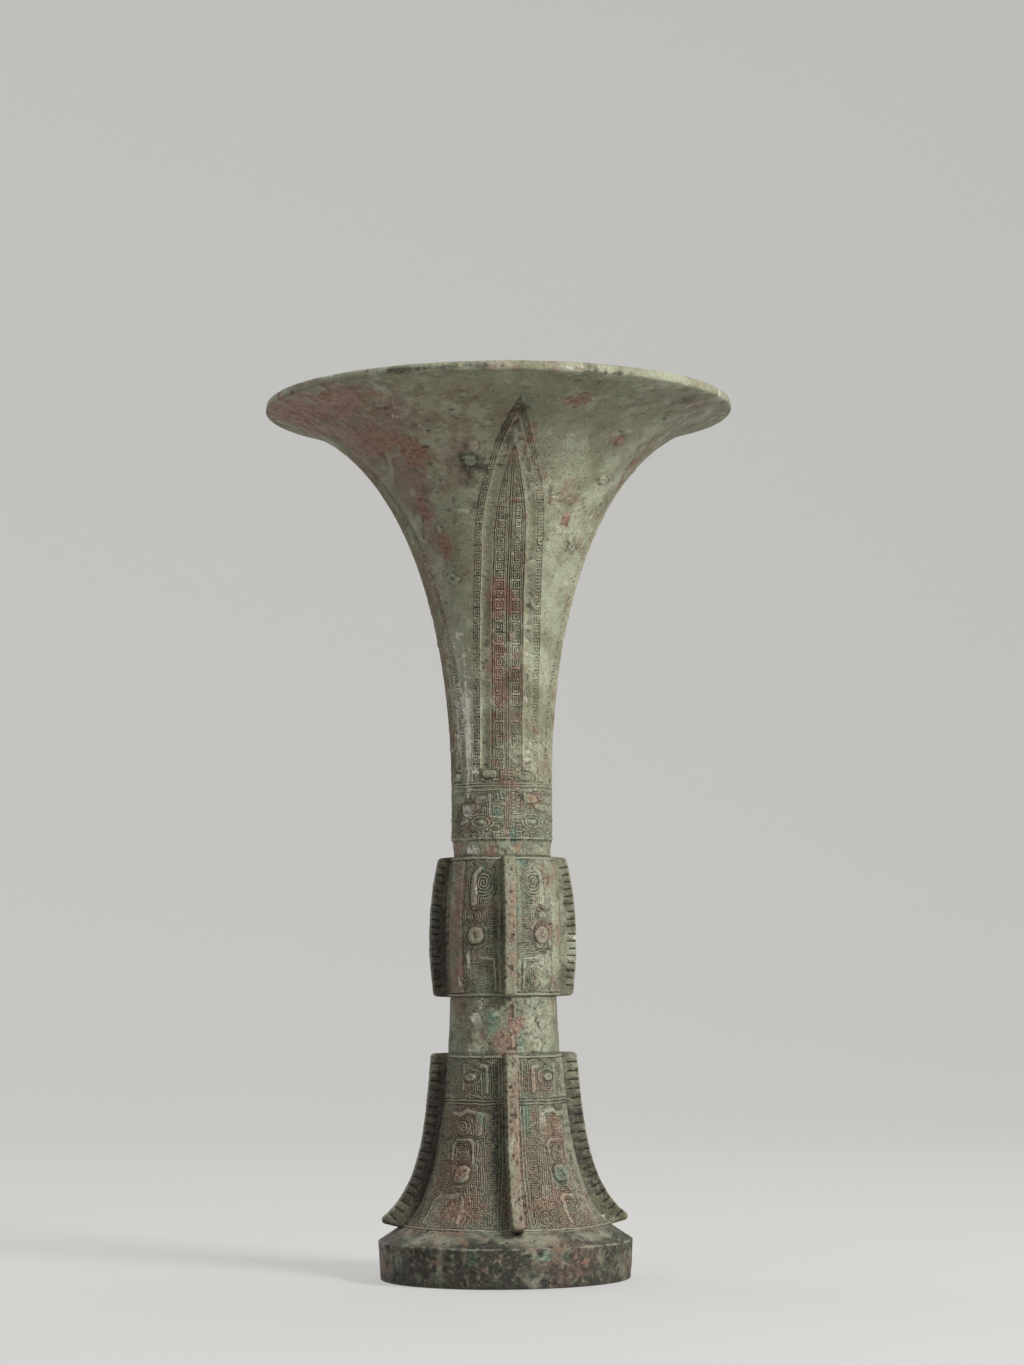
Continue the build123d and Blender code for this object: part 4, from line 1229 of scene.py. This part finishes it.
def spacer_block(azimuth, distance, seed):
    # One insert: a grid of outer points, then a grid of inner points
    across = np.linspace(-1.0, 1.0, SPACER_GRID)
    u, v = np.meshgrid(across, across, indexing="ij")
    edge = np.maximum(np.abs(u), np.abs(v)).reshape(-1, 1)
    spots = np.stack((5.0 * u, 5.0 * v, np.full(u.shape, float(seed))), axis=-1)
    wobble = 0.10 * (layered(spots, 2.4, seed, 2) - 0.5)
    pull = 1.0 - 0.16 * (u**2 * v**2) + wobble - 0.04
    u, v = u * pull * SPACER_HALF, v * pull * SPACER_HALF
    here = place(TRUMPET_LINE, np.array([distance]))[0]
    along = place(TRUMPET_LINE, distance + v.ravel())
    turn = (azimuth + np.degrees(u / here[0])).reshape(-1, 1)
    proud = 0.30 - 0.50 * smooth(edge, 0.55, 1.0)
    proud = proud + 0.35 * (layered(spun(along, turn), 1.8, seed) - 0.5) * (1.0 - edge**4)
    inner = -WALL - 0.25 - 0.5 * proud
    return [spun(along, turn, rise).reshape(-1, 3) for rise in (proud, inner)]


def block_faces(start):
    # Faces of two matching square grids and the walls between them
    n = SPACER_GRID
    faces = []
    for i, j in product(range(n - 1), range(n - 1)):
        a = start + i * n + j
        face = [a, a + n, a + n + 1, a + 1]
        faces += [face, [corner + n * n for corner in face[::-1]]]
    ring = [(i, 0) for i in range(n - 1)] + [(n - 1, j) for j in range(n - 1)]
    ring += [(i, n - 1) for i in range(n - 1, 0, -1)] + [(0, j) for j in range(n - 1, 0, -1)]
    spots = [start + i * n + j for i, j in ring]
    for a, b in zip(spots, spots[1:] + spots[:1]):
        faces.append([b, a, a + n * n, b + n * n])
    return faces


def make_spacers(material):
    points, faces = [], []
    for index, (distance, azimuth) in enumerate(spacer_spots()):
        faces += block_faces(sum(len(grid) for grid in points))
        points += spacer_block(azimuth, distance, SPACER_SEED + index)
    vertices = np.concatenate(points)
    found = [("proud", np.full(len(vertices), 0.2))]
    finish_mesh("wall_spacers", vertices, faces, found, material, "mouth_spacers")


# Patina
def paint(red, green, blue):
    # A screen colour from 0 to 255 as the shader's own values
    share = np.array((red, green, blue)) / 255.0
    linear = np.where(share <= 0.04045, share / 12.92, ((share + 0.055) / 1.055) ** 2.4)
    return (*linear.tolist(), 1.0)


class Nodes:
    # Small helpers that add nodes to one tree and join them
    def __init__(self, tree):
        self.tree = tree

    def put(self, socket, value):
        if isinstance(value, bpy.types.NodeSocket):
            self.tree.links.new(value, socket)
        else:
            socket.default_value = value

    def add(self, kind, inputs, **settings):
        # A new node with its settings, and with its inputs set or joined
        node = self.tree.nodes.new("ShaderNode" + kind)
        for name, value in settings.items():
            setattr(node, name, value)
        for socket, value in inputs.items():
            self.put(node.inputs[socket], value)
        return node.outputs

    def sum(self, kind, first, second):
        return self.add("Math", {0: first, 1: second}, operation=kind)[0]

    def step(self, value, low, high, most=1.0, least=0.0):
        inputs = dict(enumerate((value, low, high, least, most)))
        return self.add("MapRange", inputs, interpolation_type="SMOOTHSTEP")[0]

    def mix(self, share, below, above):
        return self.add("Mix", {0: share, 6: below, 7: above}, data_type="RGBA")[2]

    def seen(self):
        # 1 for rays that show the surroundings, directly or mirrored, 0 for rays that only light the vessel
        path = self.add("LightPath", {})
        mirrored = self.sum("MAXIMUM", path["Is Glossy Ray"], path["Is Transmission Ray"])
        return self.sum("MAXIMUM", path["Is Camera Ray"], mirrored)


class Shading(Nodes):
    # The nodes of a new material
    def __init__(self, name):
        self.material = bpy.data.materials.new(name)
        self.material.use_nodes = True
        super().__init__(self.material.node_tree)
        self.inputs = self.tree.nodes["Principled BSDF"].inputs
        self.spot = self.add("TexCoord", {})["Object"]

    def noise(self, scale, detail=6.0, roughness=0.6, squash=None):
        spot = self.add("Mapping", {"Vector": self.spot, "Scale": squash})["Vector"] if squash else self.spot
        inputs = {"Vector": spot, "Scale": scale, "Detail": detail, "Roughness": roughness}
        return self.add("TexNoise", inputs)["Fac"]

    def cells(self, scale):
        return self.add("TexVoronoi", {"Vector": self.spot, "Scale": scale})["Distance"]

    def mark(self, name):
        return self.add("Attribute", {}, attribute_name=name)["Fac"]

    def bump(self, height, distance, strength, before=None):
        inputs = {"Height": height, "Distance": distance, "Strength": strength}
        if before is not None:
            inputs["Normal"] = before
        return self.add("Bump", inputs)["Normal"]

    def finish(self, inputs):
        for socket, value in inputs.items():
            self.put(self.inputs[socket], value)
        return self.material


OLIVE = paint(96, 96, 75)
GREY_GREEN = paint(119, 122, 99)
PALE_GREEN = paint(158, 161, 137)
PINK_BROWN = paint(130, 103, 87)
TAUPE = paint(110, 90, 74)
DARK_BROWN = paint(31, 27, 21)
DEEP_GREEN = paint(57, 60, 44)
RED_BROWN = paint(110, 68, 56)
ORANGE_BROWN = paint(144, 106, 84)
ROSE = paint(150, 110, 94)
MALACHITE = paint(82, 118, 98)
AZURITE = paint(78, 108, 102)
CHALK_AND_PAINTED_HIGHLIGHT = paint(226, 221, 208)


def patina(name, tints, brown, red, green, pale, dark_stain_and_painted_shade, mottle=0.70, speckle=1.0, bloom=0.85):
    # Bronze of two tints under coats of corrosion and of painted light and shade, with a gain for most kinds
    # of patch
    s = Shading(name)
    middle = s.noise(150.0, 10.0, 0.72)
    fine = s.noise(560.0, 7.0, 0.72)
    speck = s.noise(1300.0, 5.0, 0.7)

    def patch(kind, gain, scale, rough):
        return s.sum("ADD", s.sum("MULTIPLY", s.mark(kind), gain), s.noise(scale, 12.0, rough))

    def grains(scale, low, high, most, detail=4.0):
        return s.step(s.noise(scale, detail, 0.7), low, high, most)

    browns = s.mix(s.step(fine, 0.44, 0.58), TAUPE, PINK_BROWN)
    reds = s.mix(s.step(fine, 0.42, 0.60), RED_BROWN, ORANGE_BROWN)
    greens = s.mix(s.step(s.noise(230.0), 0.52, 0.60), MALACHITE, AZURITE)
    crust = s.mix(s.step(middle, 0.44, 0.56), PALE_GREEN, PINK_BROWN)
    rubbed = s.mix(s.sum("MULTIPLY", s.mark("rosy"), s.step(middle, 0.38, 0.56)), PALE_GREEN, ROSE)
    streaks = s.noise(420.0, 8.0, 0.7, (1.0, 1.0, 0.24))
    broken = s.step(s.noise(170.0, 8.0, 0.7), 0.36, 0.56, 1.0, 0.45)
    grit = s.step(s.noise(640.0, 6.0, 0.75), 0.54, 0.64, 0.55)
    # Coats from the bronze up: how much of each shows, and its colour
    coats = [
        (s.step(patch("brown", 0.16 * brown, 62.0, 0.74), 0.53, 0.64, 0.85), browns),
        (s.step(middle, 0.53, 0.64, mottle), DEEP_GREEN),
        (s.step(streaks, 0.54, 0.66, 0.40), TAUPE),
        # The pale, white and dark coats carry painted light and shade as well as crust and stains
        (s.step(patch("pale", 0.20 * pale, 90.0, 0.62), 0.52, 0.74, bloom), PALE_GREEN),
        (s.step(patch("chalk_and_painted_highlight", 0.24, 170.0, 0.78), 0.62, 0.68, 0.92), CHALK_AND_PAINTED_HIGHLIGHT),
        (s.step(s.mark("crust"), 0.25, 0.85, 0.50), crust),
        (s.step(patch("red", 0.24 * red, 130.0, 0.80), 0.62, 0.69, 0.85), reds),
        (s.step(patch("green", 0.26 * green, 190.0, 0.78), 0.66, 0.76, 0.85), greens),
        (s.step(patch("dark_stain_and_painted_shade", 0.28 * dark_stain_and_painted_shade, 64.0, 0.74), 0.62, 0.78, 0.88), DARK_BROWN),
        (s.step(s.mark("proud"), 0.05, 0.95, 0.50), rubbed),
        (s.sum("MULTIPLY", s.step(s.mark("hollow"), 0.06, 0.80, 0.90), broken), DARK_BROWN),
        (s.step(speck, 0.54, 0.65, 0.22 + 0.36 * speckle), DARK_BROWN),
        (grains(900.0, 0.56, 0.66, 0.45 * speckle, 6.0), PALE_GREEN),
        (grains(1900.0, 0.53, 0.62, 0.52 * speckle), DARK_BROWN),
        (grains(2300.0, 0.52, 0.61, 0.48 * speckle), PALE_GREEN),
        (s.sum("MULTIPLY", grit, s.step(middle, 0.36, 0.52)), PINK_BROWN),
    ]
    color = s.mix(s.step(s.noise(36.0, 12.0, 0.62), 0.40, 0.60), *tints)
    for share, tint in coats:
        color = s.mix(share, color, tint)
    normal = s.bump(s.step(s.cells(430.0), 0.0, 0.35), 0.00018, 0.6)
    normal = s.bump(fine, 0.0009, 0.7, normal)
    normal = s.bump(speck, 0.0003, 0.7, normal)
    rough = s.step(middle, 0.38, 0.66, 0.80, 0.42)
    looks = {"Base Color": color, "Roughness": rough, "Normal": normal}
    return s.finish({**looks, "Metallic": 0.10, "Specular IOR Level": 0.45})


# Stage: one pale sweep of floor and backdrop, soft lights, and the camera
FLOOR_GLOW = 0.40
GLOW_TINT = paint(255, 254, 251)
PAPER_LIT = paint(199, 198, 195)
PAPER_SEEN = paint(115, 114, 112)
PAPER_ROUGHNESS = 0.9
SWEEP_HALF = 3.2
SWEEP_FRONT = -2.6
SWEEP_BACK = 0.9
SWEEP_BEND = 0.9
SWEEP_TOP = 3.4


def sweep_profile():
    # Depth and height of the floor, the bend behind it and the backdrop
    bend = [radians(b) for b in np.linspace(0.0, QUARTER, 25)]
    curved = [(SWEEP_BACK + SWEEP_BEND * sin(b), SWEEP_BEND * (1.0 - cos(b))) for b in bend]
    return [(SWEEP_FRONT, 0.0), (SWEEP_BACK, 0.0), *curved, (SWEEP_BACK + SWEEP_BEND, SWEEP_TOP)]


def make_stage():
    s = Shading("sweep_paper")
    seen = s.seen()
    glow = {"Emission Color": GLOW_TINT, "Emission Strength": s.sum("MULTIPLY", seen, FLOOR_GLOW)}
    paper = s.finish({"Base Color": s.mix(seen, PAPER_LIT, PAPER_SEEN), "Roughness": PAPER_ROUGHNESS, **glow})
    profile = sweep_profile()
    columns = (-SWEEP_HALF, 0.0, SWEEP_HALF)
    vertices = [(x, y, z) for y, z in profile for x in columns]
    corners = [row * 3 + column for row, column in product(range(len(profile) - 1), range(2))]
    faces = [(corner, corner + 1, corner + 4, corner + 3) for corner in corners]
    floor = linked("sweep", smooth_mesh("sweep", vertices, faces, paper))


def make_light(name, spot, size, power):
    lamp = bpy.data.lights.new(name, "AREA")
    lamp.size = size
    lamp.energy = power
    light = linked(name, lamp)
    light.location = spot
    light.rotation_mode = "QUATERNION"
    light.rotation_quaternion = (LIGHT_AIM - Vector(spot)).to_track_quat("-Z", "Y")


# Strength of the surroundings as light, and where they are seen or mirrored
SKY_LIGHT = 0.11
SKY_SEEN = 0.50
SKY_TINT = (0.9, 0.92, 0.95, 1.0)

# Place, size and power of each lamp
LIGHT_AIM = Vector((0.0, 0.0, 0.17))
LIGHTS = {
    "key_light": ((0.95, -1.02, 0.95), 0.5, 35.0),
    "fill_light": ((-1.25, -0.75, 0.95), 0.7, 3.8),
    "back_light": ((-1.3, 1.2, 1.4), 0.9, 9.0),
    "top_light": ((0.1, 0.35, 1.5), 0.9, 7.5),
}


def make_lights():
    for name, (spot, size, power) in LIGHTS.items():
        make_light(name, spot, size, power)
    world = bpy.data.worlds.new("studio")
    bpy.context.scene.world = world
    world.use_nodes = True
    sky = world.node_tree.nodes["Background"]
    sky.inputs["Color"].default_value = SKY_TINT
    s = Nodes(world.node_tree)
    s.put(sky.inputs["Strength"], s.step(s.seen(), 0.0, 1.0, SKY_SEEN, SKY_LIGHT))


# Camera, fitted to the vessel's outline in the photograph
CAMERA_DISTANCE = 1.098
CAMERA_HEIGHT = 0.1011
CAMERA_ASIDE = 0.00393
CAMERA_TURN = -6.5
CAMERA_PITCH = 5.46
CAMERA_ROLL = -0.493
CAMERA_LENS = 82.97
CAMERA_SENSOR = 36.0


def make_camera():
    turn, pitch = radians(CAMERA_TURN), radians(CAMERA_PITCH)
    right = Vector((cos(turn), sin(turn), 0.0))
    level = Vector((-sin(turn), cos(turn), 0.0))
    look = level * cos(pitch) + Vector((0.0, 0.0, sin(pitch)))
    height = Vector((0.0, 0.0, CAMERA_HEIGHT))
    camera = linked("camera", bpy.data.cameras.new("camera"))
    camera.location = right * CAMERA_ASIDE - level * CAMERA_DISTANCE + height
    camera.rotation_mode = "QUATERNION"
    roll = Quaternion((0.0, 0.0, 1.0), radians(CAMERA_ROLL))
    camera.rotation_quaternion = look.to_track_quat("-Z", "Y") @ roll
    camera.data.lens = CAMERA_LENS
    camera.data.sensor_width = CAMERA_SENSOR
    bpy.context.scene.camera = camera


TRUMPET_TINTS = (paint(114, 115, 89), paint(129, 131, 106))
BODY_TINTS = (OLIVE, GREY_GREEN)
FOOT_TINTS = (paint(91, 90, 70), paint(113, 114, 92))
# The ring is darker than the rest: its own dark olive, with painted shade under the ledge
RING_TINTS_AND_PAINTED_SHADE = (paint(28, 28, 19), paint(44, 44, 31))
FLANGE_TINTS = (paint(90, 86, 64), paint(118, 115, 91))
SPACER_TINTS = (paint(104, 80, 64), paint(118, 100, 82))
trumpet_patina_and_painted_light = patina(
    "trumpet_patina_and_painted_light", TRUMPET_TINTS, brown=1.2, red=1.1, green=0.8, pale=1.0, dark_stain_and_painted_shade=1.0, mottle=0.30,
    speckle=0.55,
)
body_patina_and_painted_light = patina("body_patina_and_painted_light", BODY_TINTS, brown=1.5, red=1.0, green=1.0, pale=0.9, dark_stain_and_painted_shade=1.0)
foot_patina_and_painted_light = patina("foot_patina_and_painted_light", FOOT_TINTS, brown=1.6, red=1.1, green=1.1, pale=0.8, dark_stain_and_painted_shade=1.1)
ring_patina_and_painted_shade = patina(
    "ring_patina_and_painted_shade", RING_TINTS_AND_PAINTED_SHADE, brown=0.8, red=0.7, green=1.1, pale=1.2, dark_stain_and_painted_shade=1.0, mottle=0.35,
    speckle=0.15, bloom=0.55,
)
flange_patina_and_painted_light = patina(
    "flange_patina_and_painted_light", FLANGE_TINTS, brown=1.4, red=1.0, green=0.9, pale=0.8, dark_stain_and_painted_shade=1.1, mottle=0.45,
    speckle=0.35,
)
spacer_patina_and_painted_light = patina("spacer_patina_and_painted_light", SPACER_TINTS, brown=1.2, red=1.4, green=0.6, pale=0.6, dark_stain_and_painted_shade=0.8)

make_trumpet(trumpet_patina_and_painted_light)
make_neck(body_patina_and_painted_light)
make_bulb(body_patina_and_painted_light)
make_waist(body_patina_and_painted_light)
make_foot(foot_patina_and_painted_light)
make_ring(ring_patina_and_painted_shade)
make_floor(body_patina_and_painted_light)
make_fins(flange_patina_and_painted_light)
make_spacers(spacer_patina_and_painted_light)
make_stage()
make_lights()
make_camera()
bpy.context.scene.view_settings.view_transform = "Standard"
